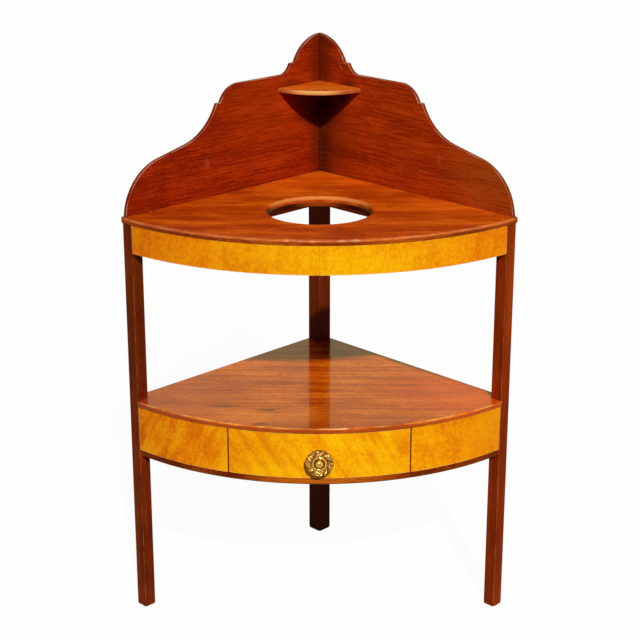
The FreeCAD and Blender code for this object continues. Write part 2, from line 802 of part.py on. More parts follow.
def drawer_side(label, sign):
    body = new_body(label, "front")
    inside = "(drawer_half - drawer_side)"
    turn = -1 if sign else 1
    corners = [
        (DRAWER_REAR + " + drawer_back", sign + inside),
        (on_circle(FRONT_INNER, inside), sign + inside, FRONT_INNER, turn),
        (FRONT_SHOULDER, sign + "drawer_half"),
        (DRAWER_REAR + " + drawer_back", sign + "drawer_half"),
    ]
    slab(body, corners, DRAWER_FOOT, "%s - %s" % (DRAWER_TOP, DRAWER_FOOT))
    foot = (DRAWER_REAR, sign + inside, DRAWER_REAR + " + drawer_back", sign + "drawer_half")
    block(body, *foot, DRAWER_FOOT, "%s - %s" % (FLOOR_TOP, DRAWER_FOOT))
    for tail_row in (FRONT_TAILS, BACK_TAILS):
        tails("Pad", body, tail_row, bool(sign))
    cut_floor_groove(body)


NAIL_SPOTS = [(DRAWER_REAR + " + drawer_back / 2", "%d * nail_step" % number) for number in (-1, 0, 1)]


def drawer_back():
    body = new_body("drawer_back", "front")
    span = (DRAWER_REAR, "-drawer_half", DRAWER_REAR + " + drawer_back", "drawer_half")
    block(body, *span, FLOOR_TOP, "%s - %s" % (DRAWER_TOP, FLOOR_TOP))
    for on_left in (True, False):
        tails("Pocket", body, BACK_TAILS, on_left)
    bore(body, NAIL_SPOTS, "nail_radius + nail_clear", FLOOR_TOP, "nail_bite + nail_clear")


def drawer_bottom():
    body = new_body("drawer_bottom", "front")
    slab(body, floor_outline(), FLOOR_FOOT, "floor_thick")
    bore(body, NAIL_SPOTS, "nail_radius + nail_clear", FLOOR_FOOT, "floor_thick")


drawer_front()
drawer_veneer()
drawer_side("drawer_side_left", "-")
drawer_side("drawer_side_right", "")
drawer_back()
drawer_bottom()


# Knob: a cast rosette on a threaded shank, held by a square nut inside the drawer
def turned(body, corners):
    """Turned piece about the axis of the knob: distance out from the drawer front, and radius."""
    sketch = new_sketch(body, "XZ_Plane", ("side", KNOB_HEIGHT, "0"))
    outline(sketch, corners)
    feature = body.newObject("PartDesign::Revolution", body.Name + "_turned")
    feature.Profile = sketch
    feature.ReferenceAxis = (sketch, ["H_Axis"])
    feature.Angle = 360.0
    sketch.Visibility = False


def drawer_knob():
    body = new_body("drawer_knob", "front")
    corners = [
        ("shank_deep", "0"),
        ("shank_deep", SHANK_HOLE),
        ("0", SHANK_HOLE),
        ("0", "foot_radius"),
        ("foot_thick", "foot_radius"),
        ("foot_thick", "neck_radius"),
        (NECK_END, "neck_radius"),
        (NECK_END + " + cup_depth", "knob_radius"),
        (NECK_END + " + cup_depth + rim_thick", "knob_radius"),
        (KNOB_CREST, "crest_radius"),
        (KNOB_DISH, "dish_radius"),
        (KNOB_DISH, "boss_radius"),
        (KNOB_DISH + " + boss_rise", "boss_radius"),
        (KNOB_REACH, "0"),
    ]
    turned(body, corners)
    sketch = new_sketch(body, "YZ_Plane", ("0", KNOB_HEIGHT, "side + " + KNOB_REACH))
    circle(sketch, ("0", "knob_radius + scallop_radius - scallop_depth"), "scallop_radius")
    notch = extrude("Pocket", sketch, "%s - %s" % (KNOB_REACH, NECK_END))
    scallops = body.newObject("PartDesign::PolarPattern", "knob_scallops")
    scallops.Originals = [notch]
    scallops.Axis = (sketch, ["N_Axis"])
    scallops.Angle = 360.0
    scallops.Occurrences = SCALLOPS
    body.Tip = scallops


def knob_shank():
    body = new_body("knob_shank", "front")
    rear = NUT_FACE + " - nut_thick - shank_tail - side"
    tip = "shank_deep - screw_clear"
    turned(body, [(rear, "0"), (tip, "0"), (tip, "shank_radius"), (rear, "shank_radius")])


def knob_nut():
    body = new_body("knob_nut", "front")
    sketch = new_sketch(body, "YZ_Plane", ("0", KNOB_HEIGHT, NUT_FACE + " - nut_thick"))
    rectangle(sketch, "-nut_size / 2", "-nut_size / 2", "nut_size / 2", "nut_size / 2")
    circle(sketch, ("0", "0"), SHANK_HOLE)
    extrude("Pad", sketch, "nut_thick")


drawer_knob()
knob_shank()
knob_nut()


# Glue blocks in the angles below the top and in the case
def angle_blocks(label, thick, across, low, starts, length):
    """Blocks along both straight sides, one at each start."""
    pieces = []
    for number, start in enumerate(starts):
        name = "%s_%d" % (label, number)
        along = {"Length": length, "Width": thick, "Height": thick}
        beside = {"Length": thick, "Width": length, "Height": thick}
        pieces.append(primitive("Box", name + "_left", along, (start, across, low)))
        pieces.append(primitive("Box", name + "_right", beside, (across, start, low)))
    group(label, pieces, "corner")


top_starts = ("back_leg + block_inset", RAIL_END + " - block_inset - block_length")
angle_blocks("top_blocks", "block", RAIL_THICK, TOP_UNDER + " - block", top_starts, "block_length")
case_starts = ("%s + case_block + %s * sqrt(2) + case_block_room" % (CASE_THICK, GUIDE_HALF),)
angle_blocks("case_blocks", "case_block", CASE_THICK, CASE_FLOOR, case_starts, "block_length")


# Screws and nails
def screw(name, spot, head_foot, head, shank, length):
    """Round-headed screw or nail that points up: the foot of its head is at a height."""
    head_radius, head_height = head
    head_sizes = {"Radius": head_radius, "Height": head_height}
    cap = primitive("Cylinder", name + "_head", head_sizes, spot + (head_foot,))
    stem_sizes = {"Radius": shank, "Height": length}
    stem = primitive("Cylinder", name + "_stem", stem_sizes, spot + (head_foot,))
    joined = doc.addObject("Part::Fuse", name)
    joined.Base = cap
    joined.Tool = stem
    return joined


def top_screws():
    head_foot = APRON_FOOT + " + rail_counterbore - head_height"
    length = "(apron_height - rail_counterbore + head_height + top_bite)"
    head = ("head_radius", "head_height")
    pieces = [
        screw("top_screw_%d" % number, spot, head_foot, head, "screw_radius", length)
        for number, spot in enumerate(both_sides(TOP_SCREW_SPOTS))
    ]
    group("top_screws", pieces, "corner")


def splash_screws():
    head = ("splash_head_radius", "splash_head_height")
    length = "(top_thick + splash_bite)"
    pieces = [
        screw("splash_screw_%d" % number, spot, TOP_UNDER, head, "splash_screw_radius", length)
        for number, spot in enumerate(both_sides(SPLASH_SCREW_SPOTS))
    ]
    group("splash_screws", pieces, "corner")


def drawer_nails():
    head_foot = FLOOR_FOOT + " - nail_head_thick"
    head = ("nail_head", "nail_head_thick")
    length = "(nail_head_thick + floor_thick + nail_bite)"
    pieces = [
        screw("drawer_nail_%d" % number, spot, head_foot, head, "nail_radius", length)
        for number, spot in enumerate(NAIL_SPOTS)
    ]
    group("drawer_nails", pieces, "front")


top_screws()
splash_screws()
drawer_nails()

# Check and write
doc.recompute()
for thing in doc.Objects:
    if "Invalid" in thing.State or "Error" in thing.State:
        raise RuntimeError("%s failed: %s" % (thing.Name, thing.State))
for piece in subparts:
    if piece.Shape.isNull() or not piece.Shape.isValid() or not piece.Shape.Solids:
        raise RuntimeError(piece.Label + " has no valid solid")
os.makedirs("parts", exist_ok=True)
for piece in subparts:
    piece.Shape.exportStep("parts/%s.step" % piece.Label)
    print("%-22s %2d solids %12.1f mm3" % (piece.Label, len(piece.Shape.Solids), piece.Shape.Volume))
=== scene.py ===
import json
import math

import bmesh
import bpy
from mathutils import Matrix, Vector


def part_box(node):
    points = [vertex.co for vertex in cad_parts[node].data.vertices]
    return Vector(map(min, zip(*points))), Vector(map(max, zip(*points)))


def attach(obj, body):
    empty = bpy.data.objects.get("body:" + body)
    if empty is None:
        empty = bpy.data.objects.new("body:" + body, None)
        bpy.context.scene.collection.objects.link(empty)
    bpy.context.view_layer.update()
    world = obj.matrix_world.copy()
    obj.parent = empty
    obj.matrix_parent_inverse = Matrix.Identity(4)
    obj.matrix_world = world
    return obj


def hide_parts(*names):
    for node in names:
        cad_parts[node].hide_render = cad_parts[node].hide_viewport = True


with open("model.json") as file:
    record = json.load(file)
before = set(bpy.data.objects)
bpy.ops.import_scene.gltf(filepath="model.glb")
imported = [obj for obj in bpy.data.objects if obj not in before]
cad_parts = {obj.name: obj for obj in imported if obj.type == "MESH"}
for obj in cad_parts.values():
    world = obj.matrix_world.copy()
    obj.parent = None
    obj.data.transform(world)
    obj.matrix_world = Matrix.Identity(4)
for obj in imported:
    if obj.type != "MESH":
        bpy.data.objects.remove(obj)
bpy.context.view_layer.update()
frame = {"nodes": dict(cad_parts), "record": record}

# Looks of the corner washstand, in metres in the frame of the solids: +Z up, front towards -Y.
# Local words: u runs along the left straight side from the outer back corner, v along the right one.

MM = 0.001
ROOT2 = math.sqrt(2)
QUARTER = math.pi / 2

# Sizes read from the frame
top_low, top_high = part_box("top_board")
hoop_low, hoop_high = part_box("basin_hoop")
shelf_low, shelf_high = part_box("shelf_board")
bottom_low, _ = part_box("bottom_board")
apron_low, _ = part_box("apron_veneer_left")
panel_low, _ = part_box("panel_veneer_right")
_, drawer_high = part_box("drawer_veneer")
corner_low, corner_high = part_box("corner_shelf")
splash_low, splash_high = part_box("splash_left")
knob_low, knob_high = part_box("drawer_knob")
CORNER_Y = top_high.y
BOW = CORNER_Y - apron_low.y
TOP_RADIUS = CORNER_Y - top_low.y
SIDE = BOW
SPLASH_END = -splash_low.x * ROOT2

# Sizes of single pieces
LEG = 21.5 * MM
BACK_LEG = 28 * MM
INNER_SIDE = SIDE - LEG
VENEER = 1 * MM
SPLASH_LAP = splash_high.x * ROOT2
SPLASH_THICK = 2 * SPLASH_LAP
SHELF_GROOVE = (CORNER_Y - corner_high.y) / ROOT2
BASIN_RADIUS = 84.5 * MM
BASIN_FORWARD = CORNER_Y - (hoop_low.y + hoop_high.y) / 2
HOOP_WIDTH = 12 * MM

# Top edge of the backsplash: runs along a board and rises, named from the corner outward
ARCH_RUN, ARCH_RISE = 67 * MM, 44 * MM
LEDGE = 10.5 * MM
COVE_RUN, COVE_RISE, COVE_RADIUS = 19 * MM, 17.5 * MM, 26 * MM
STEP_RUN, STEP_RISE, STEP = 42 * MM, 28 * MM, 8.5 * MM
HOLLOW_RUN, HOLLOW_RISE, HOLLOW_RADIUS = 70 * MM, 59.3 * MM, 101 * MM
SLOPE_RUN, SLOPE_RISE = 57.3 * MM, 13.2 * MM
ROUND_RUN, ROUND_RISE, ROUND_RADIUS = 72.4 * MM, 84 * MM, 93.5 * MM

# Roundings of edges, and widths of rims and joints
ARRIS = 1 * MM
TIGHT = 0.4 * MM
FOOT_ROUND = 0.9 * MM
FOOT_WEAR = 5.5 * MM
FOOT_REACH = 1.18
NOSE_ROUND = 4.4 * MM
LIP_ROUND = 6.8 * MM
SPLASH_ROUND = 1.3 * MM
SPLASH_BLEND = 4 * MM
LAP_STEP = 0.1 * MM
SHELF_ROUND = 2.4 * MM
BOTTOM_ROUND = 4 * MM
CORNER_ROUND = 3 * MM
VENEER_ROUND = 0.15 * MM
RIM_WIDTH = 1.6 * MM
JOINT_WIDTH = 1.5 * MM
DRAWER_JOINT = 0.35 * MM
SEAM_WIDTH = 0.1 * MM
LEG_JOINT = 0.5 * MM
NOSE_BLEND = 5 * MM

# Fineness of the meshes
ARC_STEP = 3 * MM
STRAIGHT_STEP = 6 * MM
LEG_STEP = 2 * MM
LEAF_STEP = 4 * MM
RISE_STEP = 6 * MM
ROUND_STEPS = 5
CORNER_STEPS = 4
CORNER_SHARE = 0.45  # of a side, at most, for the rounding of its corner
HOOP_POINTS = 180
SHARP_TURN = math.radians(20)

BODY_OF = {node: body for body, nodes in frame["record"]["behaviour"]["bodies"].items() for node in nodes}
SLOT_OF = {part["node"]: part["material_slot"] for part in frame["record"]["subparts"]}


# Places
def spot(u, v, z):
    """Point at distances along the left and the right straight side."""
    return Vector(((v - u) / ROOT2, CORNER_Y - (u + v) / ROOT2, z))


def bow_spot(radius, angle, z):
    """Point at a distance from the corner and an angle from straight ahead, positive to the right."""
    return Vector((radius * math.sin(angle), CORNER_Y - radius * math.cos(angle), z))


def swell(value, low, high):
    """Smooth step from 0 at low to 1 at high."""
    share = max(0.0, min(1.0, (value - low) / (high - low)))
    return share * share * (3 - 2 * share)


# Outlines
def bend(start, end, radius, turn):
    """Points of an arc after its start, with its end; turn is 1 to the left and -1 to the right."""
    chord = end - start
    left = Vector((-chord.y, chord.x)).normalized()
    centre = (start + end) / 2 + left * turn * math.sqrt(radius**2 - chord.length_squared / 4)
    sweep = 2 * math.asin(chord.length / 2 / radius) * turn
    count = max(2, math.ceil(abs(sweep) * radius / ARC_STEP))
    return [centre + Matrix.Rotation(sweep * k / count, 2) @ (start - centre) for k in range(1, count + 1)]


def straight(start, end, pitch=STRAIGHT_STEP):
    """Points of a straight side from its start, without its end."""
    count = math.ceil((end - start).length / pitch)
    return [start.lerp(end, k / count) for k in range(count)]


def arc_radius(run, rise):
    """Radius of an arc that starts level and reaches a run and a rise."""
    return (run**2 + rise**2) / (2 * rise)


def soften(points, radius):
    """Round the sharp corners of a closed outline. Gives the points, and 1 in the middle of each corner."""
    softened, corner = [], []
    for number, point in enumerate(points):
        before = point - points[number - 1]
        after = points[(number + 1) % len(points)] - point
        turn = abs(before.angle_signed(after))
        if turn < SHARP_TURN:
            softened.append(point)
            corner.append(0.0)
            continue
        reach = min(radius * math.tan(turn / 2), CORNER_SHARE * min(before.length, after.length))
        start, end = point - before.normalized() * reach, point + after.normalized() * reach
        for k in range(CORNER_STEPS + 1):
            share = k / CORNER_STEPS
            softened.append(start * (1 - share) ** 2 + point * 2 * share * (1 - share) + end * share**2)
            corner.append(math.sin(math.pi * share))
    return softened, corner


def miters(points):
    """For each point of a closed outline that runs to the left, the way out that moves both sides by 1."""
    sides = [points[(k + 1) % len(points)] - point for k, point in enumerate(points)]
    outs = [Vector((side.y, -side.x)).normalized() for side in sides]
    return [(outs[k - 1] + out) / (1 + outs[k - 1].dot(out)) for k, out in enumerate(outs)]


def edge_rings(outline, low, high, rounding, corner=ARRIS, inward=1):
    """Rings of a board from its low face round the edge to its high face.
    rounding gives the radii of the low and the high edge at a point. A knot is a place and two marks:
    how far it is on an arris, and how far it is on the wall."""
    points, sharpness = soften(outline, corner)
    ways = miters(points)
    rings = []
    for is_high in (False, True):
        for k in range(ROUND_STEPS + 1):
            turn = QUARTER * k / ROUND_STEPS
            ring = []
            for point, way, sharp in zip(points, ways, sharpness):
                radius = rounding(point)[is_high]
                across, along = radius * (1 - math.sin(turn)), radius * (1 - math.cos(turn))
                inset, depth = (along, high - across) if is_high else (across, low + along)
                wall = 1 - turn / QUARTER if is_high else turn / QUARTER
                place = point - way * inset * inward
                edge = max(math.sin(2 * turn), sharp * wall)
                ring.append((Vector((*place, depth)), edge, wall))
            rings.append(ring)
    return rings


# Meshes
def loft(name, rings, place, grain, hoop):
    """Skin through rings of as many knots each, with two end faces unless it is a hoop."""
    size = len(rings[0])
    knots = [knot for ring in rings for knot in ring]
    spots = [place(*knot[0]) for knot in knots]
    faces = []
    for row in range(len(rings) if hoop else len(rings) - 1):
        here, there = row * size, (row + 1) % len(rings) * size
        for k in range(size):
            after = (k + 1) % size
            faces.append((here + k, here + after, there + after, there + k))
    if not hoop:
        faces += [tuple(range(size)), tuple(range(len(knots) - size, len(knots)))]
    mesh = bpy.data.meshes.new(name)
    mesh.from_pydata(spots, [], faces)
    shell = bmesh.new()
    shell.from_mesh(mesh)
    bmesh.ops.recalc_face_normals(shell, faces=shell.faces)
    shell.to_mesh(mesh)
    shell.free()
    lines = [value for point in spots for value in grain(point)]
    mesh.attributes.new("grain", "FLOAT_VECTOR", "POINT").data.foreach_set("vector", lines)
    for column, mark in ((1, "edge"), (2, "wall")):
        marks = [knot[column] for knot in knots]
        mesh.attributes.new(mark, "FLOAT", "POINT").data.foreach_set("value", marks)
    mesh.shade_smooth()
    return mesh


def show(name, data):
    """Put a mesh, a light or a camera in the scene."""
    shown = bpy.data.objects.new(name, data)
    bpy.context.scene.collection.objects.link(shown)
    return shown


def stand_for(node, name, material, rings, place, grain, hoop=False):
    """Show a skin through rings in place of a node, on the body of that node."""
    mesh = loft(name, rings, place, grain, hoop)
    mesh.materials.append(material)
    piece = show(name, mesh)
    piece.modifiers.new("even_normals", "WEIGHTED_NORMAL").keep_sharp = True
    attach(piece, BODY_OF[node])
    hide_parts(node)


# Grain: where a point lies in its plank, as (along, across, through)
def grain_across_front(shift):
    return lambda point: (point.x + shift, point.y, point.z)


def grain_side_board(side, shift):
    """Along the left straight side, where side is -1, or the right one, where it is 1."""
    def grain(point):
        x, ahead = side * point.x, CORNER_Y - point.y
        return (ahead + x) / ROOT2 + shift, point.z, (ahead - x) / ROOT2

    return grain


def grain_upright(shift):
    return lambda point: (point.z + shift, point.x, point.y)


def grain_round_bow(leaf):
    return lambda point: (math.atan2(point.x, CORNER_Y - point.y) * BOW, point.z, leaf)


# Materials
class Finish:
    """Nodes of a material or of the world. A call adds nodes and gives one of their outputs."""

    def __init__(self, name, kind=bpy.data.materials):
        self.owner = kind.new(name)
        self.owner.use_nodes = True
        self.tree = self.owner.node_tree
        self.tree.nodes.clear()

    def node(self, kind, inputs, output=0, **settings):
        node = self.tree.nodes.new("ShaderNode" + kind)
        for name, value in settings.items():
            setattr(node, name, value)
        for socket, value in inputs.items():
            if isinstance(value, bpy.types.NodeSocket):
                self.tree.links.new(value, node.inputs[socket])
            else:
                node.inputs[socket].default_value = value
        return node.outputs[output]

    def mark(self, name, output=2):
        """A mark of the mesh; output 1 is a vector and 2 a number."""
        return self.node("Attribute", {}, output, attribute_name=name)

    def place(self):
        """Place in the object itself."""
        return self.node("TexCoord", {}, 3)

    def times(self, vector, factors):
        return self.node("VectorMath", {0: vector, 1: factors}, operation="MULTIPLY")

    def plus(self, vector, other):
        return self.node("VectorMath", {0: vector, 1: other}, operation="ADD")

    def turned(self, vector, angle):
        return self.node("VectorRotate", {"Vector": vector, "Angle": angle}, rotation_type="Z_AXIS")

    def noise(self, vector, factors, detail=3.0, roughness=0.55, output=0):
        """Noise with so many waves in a metre along each axis; output 0 is a number and 1 a vector."""
        scaled = self.times(vector, factors)
        sockets = {"Vector": scaled, "Scale": 1.0, "Detail": detail, "Roughness": roughness}
        return self.node("TexNoise", sockets, output)

    def sway(self, vector, factors, detail, width):
        """Slow wandering from side to side, in a width along each axis."""
        drift = self.noise(vector, factors, detail, output=1)
        return self.times(self.plus(drift, (-0.5, -0.5, -0.5)), width)

    def sum(self, *terms):
        """Weighted sum of (value, weight) terms."""
        total = 0.0
        for value, weight in terms:
            total = self.node("Math", {0: value, 1: weight, 2: total}, operation="MULTIPLY_ADD")
        return total

    def product(self, first, second):
        return self.node("Math", {0: first, 1: second}, operation="MULTIPLY")

    def most(self, first, second):
        return self.node("Math", {0: first, 1: second}, operation="MAXIMUM")

    def off(self, value, middle):
        """How far a value is from a middle."""
        return self.node("Math", {0: self.sum((value, 1.0), (1.0, -middle))}, operation="ABSOLUTE")

    def span(self, value, low, high, start=0.0, end=1.0):
        """Stretch of a value from low to high onto start to end, held at both."""
        sockets = {"Value": value, "From Min": low, "From Max": high, "To Min": start, "To Max": end}
        return self.node("MapRange", sockets, interpolation_type="SMOOTHSTEP")

    def blot(self, place, centre, reach, turn=0.0):
        """1 at a centre, 0 from a reach on along each axis, turned about the third one."""
        shifted = self.plus(place, tuple(-part for part in centre))
        scaled = self.times(self.turned(shifted, turn), tuple(1 / part for part in reach))
        distance = self.node("VectorMath", {0: scaled}, 1, operation="LENGTH")
        return self.span(distance, 0.2, 1.0, 1.0, 0.0)

    def ramp(self, value, *stops):
        colours = self.tree.nodes.new("ShaderNodeValToRGB")
        self.tree.links.new(value, colours.inputs[0])
        elements = colours.color_ramp.elements
        while len(elements) < len(stops):
            elements.new(1.0)
        for element, (place, colour) in zip(elements, stops):
            element.position = place
            element.color = (*colour, 1.0)
        return colours.outputs[0]

    def tones(self, value, colours):
        """Colours at even steps of a value from 0 to 1."""
        return self.ramp(value, *((k / (len(colours) - 1), colour) for k, colour in enumerate(colours)))

    def mix(self, share, first, second):
        sockets = {0: share, 6: first, 7: second}
        for key in (6, 7):
            if isinstance(sockets[key], tuple):
                sockets[key] = (*sockets[key], 1.0)
        return self.node("Mix", sockets, 2, data_type="RGBA")

    def shade(self, colour, roughness, height, depth, constants):
        """Principled surface with bumps of a depth in metres."""
        bump = self.node("Bump", {"Height": height, "Strength": 1.0, "Distance": depth})
        sockets = {"Base Color": colour, "Roughness": roughness, "Normal": bump}
        return self.end(self.node("BsdfPrincipled", {**sockets, **constants}))

    def end(self, surface, output="OutputMaterial"):
        """Connect the last node, and give the material or the world."""
        out = self.tree.nodes.new("ShaderNode" + output)
        self.tree.links.new(surface, out.inputs[0])
        return self.owner


def mahogany(
    name, tones, worn_and_highlight, length=16, fine=640, figure=0.22, wear=0.7, rub=(40, 60, 60), least=0.05,
    bare_walls=0.0, gloss=0.3, coat=0.0, shine=0.03, grime_and_shade=0.0, depth=0.12 * MM, painted_highlight=None, marks=(),
):
    """Polished mahogany along the grain of its mesh, in three tones from deep to pale, pale with wear on its
    arrises, partly as a painted highlight, and dark on its walls, partly with dirt and partly as painted
    shade.
    length and fine are how many streaks there are in a metre along and across the grain, and rub how many
    patches of wear, with least as the wear between them. figure is how strongly it is clouded, bare_walls
    how far its walls are rubbed pale too, and depth how deep its pores are. A mark is a colour and its
    strength, and the painted highlight another colour over the wear and how softly it fades; each goes on
    with a centre, a reach and, where it has one, a turn."""
    finish = Finish("mahogany_" + name)
    grain = finish.mark("grain", 1)
    bent = finish.plus(grain, finish.sway(grain, (2.5, 7, 7), 0, (0.0, 0.014, 0.014)))
    bands = finish.noise(bent, (1.3, 38, 38))
    streaks = finish.noise(bent, (length, fine, fine), 4, 0.62)
    flecks = finish.noise(bent, (110, 1.7 * fine, 1.7 * fine), 2)
    clouds = finish.noise(bent, (11, 26, 26))
    pores = finish.span(finish.noise(bent, (130, 2500, 2500), 1), 0.58, 0.7)
    parts = ((bands, 0.22), (streaks, 0.36), (flecks, 0.2), (clouds, figure))
    middle = sum(weight for part, weight in parts) / 2
    tone = finish.span(finish.sum(*parts), middle - MAHOGANY_SPREAD, middle + MAHOGANY_SPREAD)
    colour = finish.tones(tone, tones)
    colour = finish.mix(finish.product(pores, 0.45), colour, tuple(0.35 * part for part in tones[0]))
    streaky = finish.span(streaks, 0.3, 0.6, 0.3, 1.0)
    for shade, strength, *place in marks:
        blot = finish.product(finish.blot(grain, *place), streaky)
        colour = finish.mix(finish.product(blot, strength), colour, shade)
    edge, wall = finish.mark("edge"), finish.mark("wall")
    # darker walls: partly dirt, partly painted shade under the bead of the top, in the hole and on the
    # backsplash edges
    if grime_and_shade:
        colour = finish.mix(finish.product(wall, grime_and_shade), colour, GRIME_AND_SHADE)
    if bare_walls:
        edge = finish.most(edge, finish.product(wall, bare_walls))
    rubbed = finish.span(finish.noise(grain, rub, 4, 0.65), 0.4, 0.62, least, 1.0)
    # painted highlight: a brighter colour over the wear near a centre, with the patchiness of the wear taken
    # away there
    if painted_highlight:
        bright, fade, *place = painted_highlight
        near = finish.span(finish.blot(grain, *place), 0.0, fade)
        worn_and_highlight = finish.mix(near, worn_and_highlight, bright)
        rubbed = finish.most(rubbed, near)
    bare = finish.product(finish.product(edge, rubbed), wear)
    colour = finish.mix(bare, colour, worn_and_highlight)
    smear = finish.noise(grain, (18, 30, 30), 2)
    roughness = finish.sum((smear, 0.22), (bare, 0.2), (1.0, gloss - 0.11))
    height = finish.sum((pores, -0.6), (streaks, 0.4))
    polish = {"Coat Weight": coat, "Coat Roughness": 0.05, "Specular IOR Level": shine}
    return finish.shade(colour, roughness, height, depth, polish)


def satinwood(name, slant, flame, spread, marks=()):
    """Polished satinwood veneer: a mottle with fine curls over slanting flames, with painted shade that
    makes it more orange to the ends of the bow, pale at its rims and dark in its joints. A wide spread makes
    the figure faint."""
    finish = Finish("satinwood_" + name)
    grain = finish.mark("grain", 1)
    turned = finish.turned(grain, slant)
    lean = finish.sway(grain, (45, 45, APART), 3, (0.018, 0.014, 0.0))
    curled = finish.plus(grain, lean)
    swayed = finish.plus(turned, finish.times(lean, (0.45, 0.45, 0.0)))
    flames = finish.noise(swayed, (75, 12, APART), 2)
    mottle = finish.noise(curled, (190, 130, APART), 4, 0.62)
    fibre = finish.noise(curled, (900, 160, APART), 2)
    clouds = finish.noise(grain, (16, 22, APART))
    line = finish.noise(curled, (100, 130, APART), 1)
    patches = finish.span(finish.noise(grain, (40, 40, APART), 2), 0.45, 0.65)
    curls = finish.product(finish.span(finish.off(line, 0.5), 0.0, 0.04, 1.0, 0.0), patches)
    tone = finish.sum((flames, flame), (mottle, 0.6 - flame), (fibre, 0.12), (clouds, 0.28), (curls, -0.08))
    tone = finish.span(tone, 0.5 - spread, 0.5 + spread)
    along = finish.node("SeparateXYZ", {0: grain})
    # painted shade: more orange to the ends of the bow, where the light falls less, centred 25 mm to the
    # right as the light comes from the right
    shade_to_ends = finish.span(finish.off(along, 25 * MM), 0.02, 0.31)
    colour = finish.mix(shade_to_ends, finish.tones(tone, GOLD), finish.tones(tone, SHADED_AMBER))
    chipped = finish.span(finish.noise(grain, (120, 120, APART), 2), 0.35, 0.6, 0.1, 0.55)
    colour = finish.mix(finish.product(finish.mark("edge"), chipped), colour, RIM_WOOD)
    for shade, strength, *place in marks:
        colour = finish.mix(finish.product(finish.blot(grain, *place), strength), colour, shade)
    colour = finish.mix(finish.mark("wall"), colour, JOINT_WOOD)
    roughness = finish.sum((mottle, 0.18), (clouds, 0.15), (1.0, 0.22))
    height = finish.sum((fibre, 0.6), (mottle, 0.4))
    return finish.shade(colour, roughness, height, 0.05 * MM, {"Specular IOR Level": 0.06})


def plain_wood(name, turn, early, late, dark, ring_pitch):
    """Planed wood without polish; its rings run along a way turned from X about Z."""
    finish = Finish(name)
    grain = finish.turned(finish.place(), -turn)
    lean = finish.sway(grain, (3, 14, 14), 2, (0.0, 0.03, 0.03))
    bent = finish.times(finish.plus(grain, lean), (0.12, 1, 1))
    waves = {"Scale": 1 / ring_pitch, "Distortion": 1.2, "Detail": 2.0, "Detail Scale": 1.5}
    form = {"wave_type": "RINGS", "rings_direction": "X", "wave_profile": "SAW"}
    rings = finish.node("TexWave", {"Vector": bent, **waves}, 1, **form)
    fibre = finish.noise(grain, (30, 700, 700))
    stain = finish.noise(grain, (5, 11, 11))
    tone = finish.sum((rings, 0.4), (fibre, 0.4), (stain, 0.2))
    colour = finish.ramp(finish.span(tone, 0.2, 0.75), (0.0, early), (0.7, late), (1.0, dark))
    colour = finish.mix(finish.span(stain, 0.5, 0.75, 0.0, 0.55), colour, dark)
    roughness = finish.sum((fibre, 0.25), (1.0, 0.55))
    height = finish.sum((fibre, 0.7), (rings, 0.3))
    return finish.shade(colour, roughness, height, 0.15 * MM, {"Specular IOR Level": 0.02})


def aged_brass():
    """Cast brass: bright on the high places, dark in the hollows."""
    finish = Finish("aged_brass")
    place = finish.place()
    cast = finish.noise(place, (700, 700, 700))
    stain = finish.noise(place, (160, 160, 160))
    hollow = finish.span(finish.sum((finish.mark("wall"), 1.0), (stain, 0.5)), 0.45, 1.05)
    bright = finish.ramp(stain, (0.3, (0.5, 0.28, 0.075)), (0.7, (0.8, 0.53, 0.19)))
    colour = finish.mix(hollow, bright, (0.14, 0.06, 0.018))
    roughness = finish.sum((stain, 0.2), (hollow, 0.25), (1.0, 0.14))
    height = finish.sum((cast, 1.0), (stain, 0.6))
    return finish.shade(colour, roughness, height, 0.1 * MM, {"Metallic": 1.0})


def dull_iron():
    """Dark iron with pits and some rust."""
    finish = Finish("dull_iron")
    place = finish.place()
    rust = finish.noise(place, (300, 300, 300), 4)
    pits = finish.noise(place, (1400, 1400, 1400), 2)
    stops = (0.35, (0.09, 0.08, 0.075)), (0.6, (0.16, 0.13, 0.11)), (0.75, (0.2, 0.09, 0.04))
    roughness = finish.sum((rust, 0.4), (1.0, 0.3))
    height = finish.sum((pits, 1.0), (rust, 1.0))
    return finish.shade(finish.ramp(rust, *stops), roughness, height, 0.1 * MM, {"Metallic": 0.7})


# Colours as linear red, green and blue
# pale wear on the backsplash arrises, partly as painted highlights
WORN_AND_HIGHLIGHT = (0.72, 0.42, 0.28)
# dark colour of dirt and scratches, and of painted shade in corners, recesses and under parts
GRIME_AND_SHADE = (0.035, 0.007, 0.002)
RIM_WOOD = (0.95, 0.6, 0.22)
JOINT_WOOD = (0.32, 0.025, 0.0005)
DARK_FIGURE = (0.12, 0.012, 0.001)
PALE_RUB = (0.62, 0.3, 0.16)
# painted glints on the bead of the top
PAINTED_GLINT = (1.0, 0.7, 0.45)
GOLD = ((0.82, 0.275, 0.001), (0.97, 0.43, 0.001), (1.0, 0.55, 0.002))
# painted shade of the satinwood towards the ends of the bow
SHADED_AMBER = ((0.74, 0.14, 0.0005), (0.92, 0.245, 0.0008), (0.98, 0.37, 0.002))

# Figure and marks of the woods
MAHOGANY_SPREAD = 0.115  # of the noise, to either side of its middle, from the deep to the pale tone
APART = 9  # keeps the figures of two leaves of veneer apart
RIGHT_LEAF = 6.0
RIGHT_SHIFT, CORNER_SHIFT, SHELF_SHIFT, BOTTOM_SHIFT, HOOP_SHIFT = 3.0, 5.0, 7.0, 9.0, 11.0
FREE = 9  # reach of a mark along an axis that doesn't bound it
SKIN = 6 * MM  # depth of dirt on a face
CORNER_LINE = 3.2 * MM
# places across the front and widths of the painted glints on the bead of the top
NOSING_GLINTS = [(-0.03, 0.006), (-0.01, 0.007), (0.035, 0.008), (0.056, 0.012), (-0.05, 0.005)]


def on_top(x, y):
    """Place on the surface of the top, in its grain."""
    return x, y, top_high.z


def on_shelf(x, y):
    """Place on the surface of the lower shelf, in its grain."""
    return x + SHELF_SHIFT, y, shelf_high.z


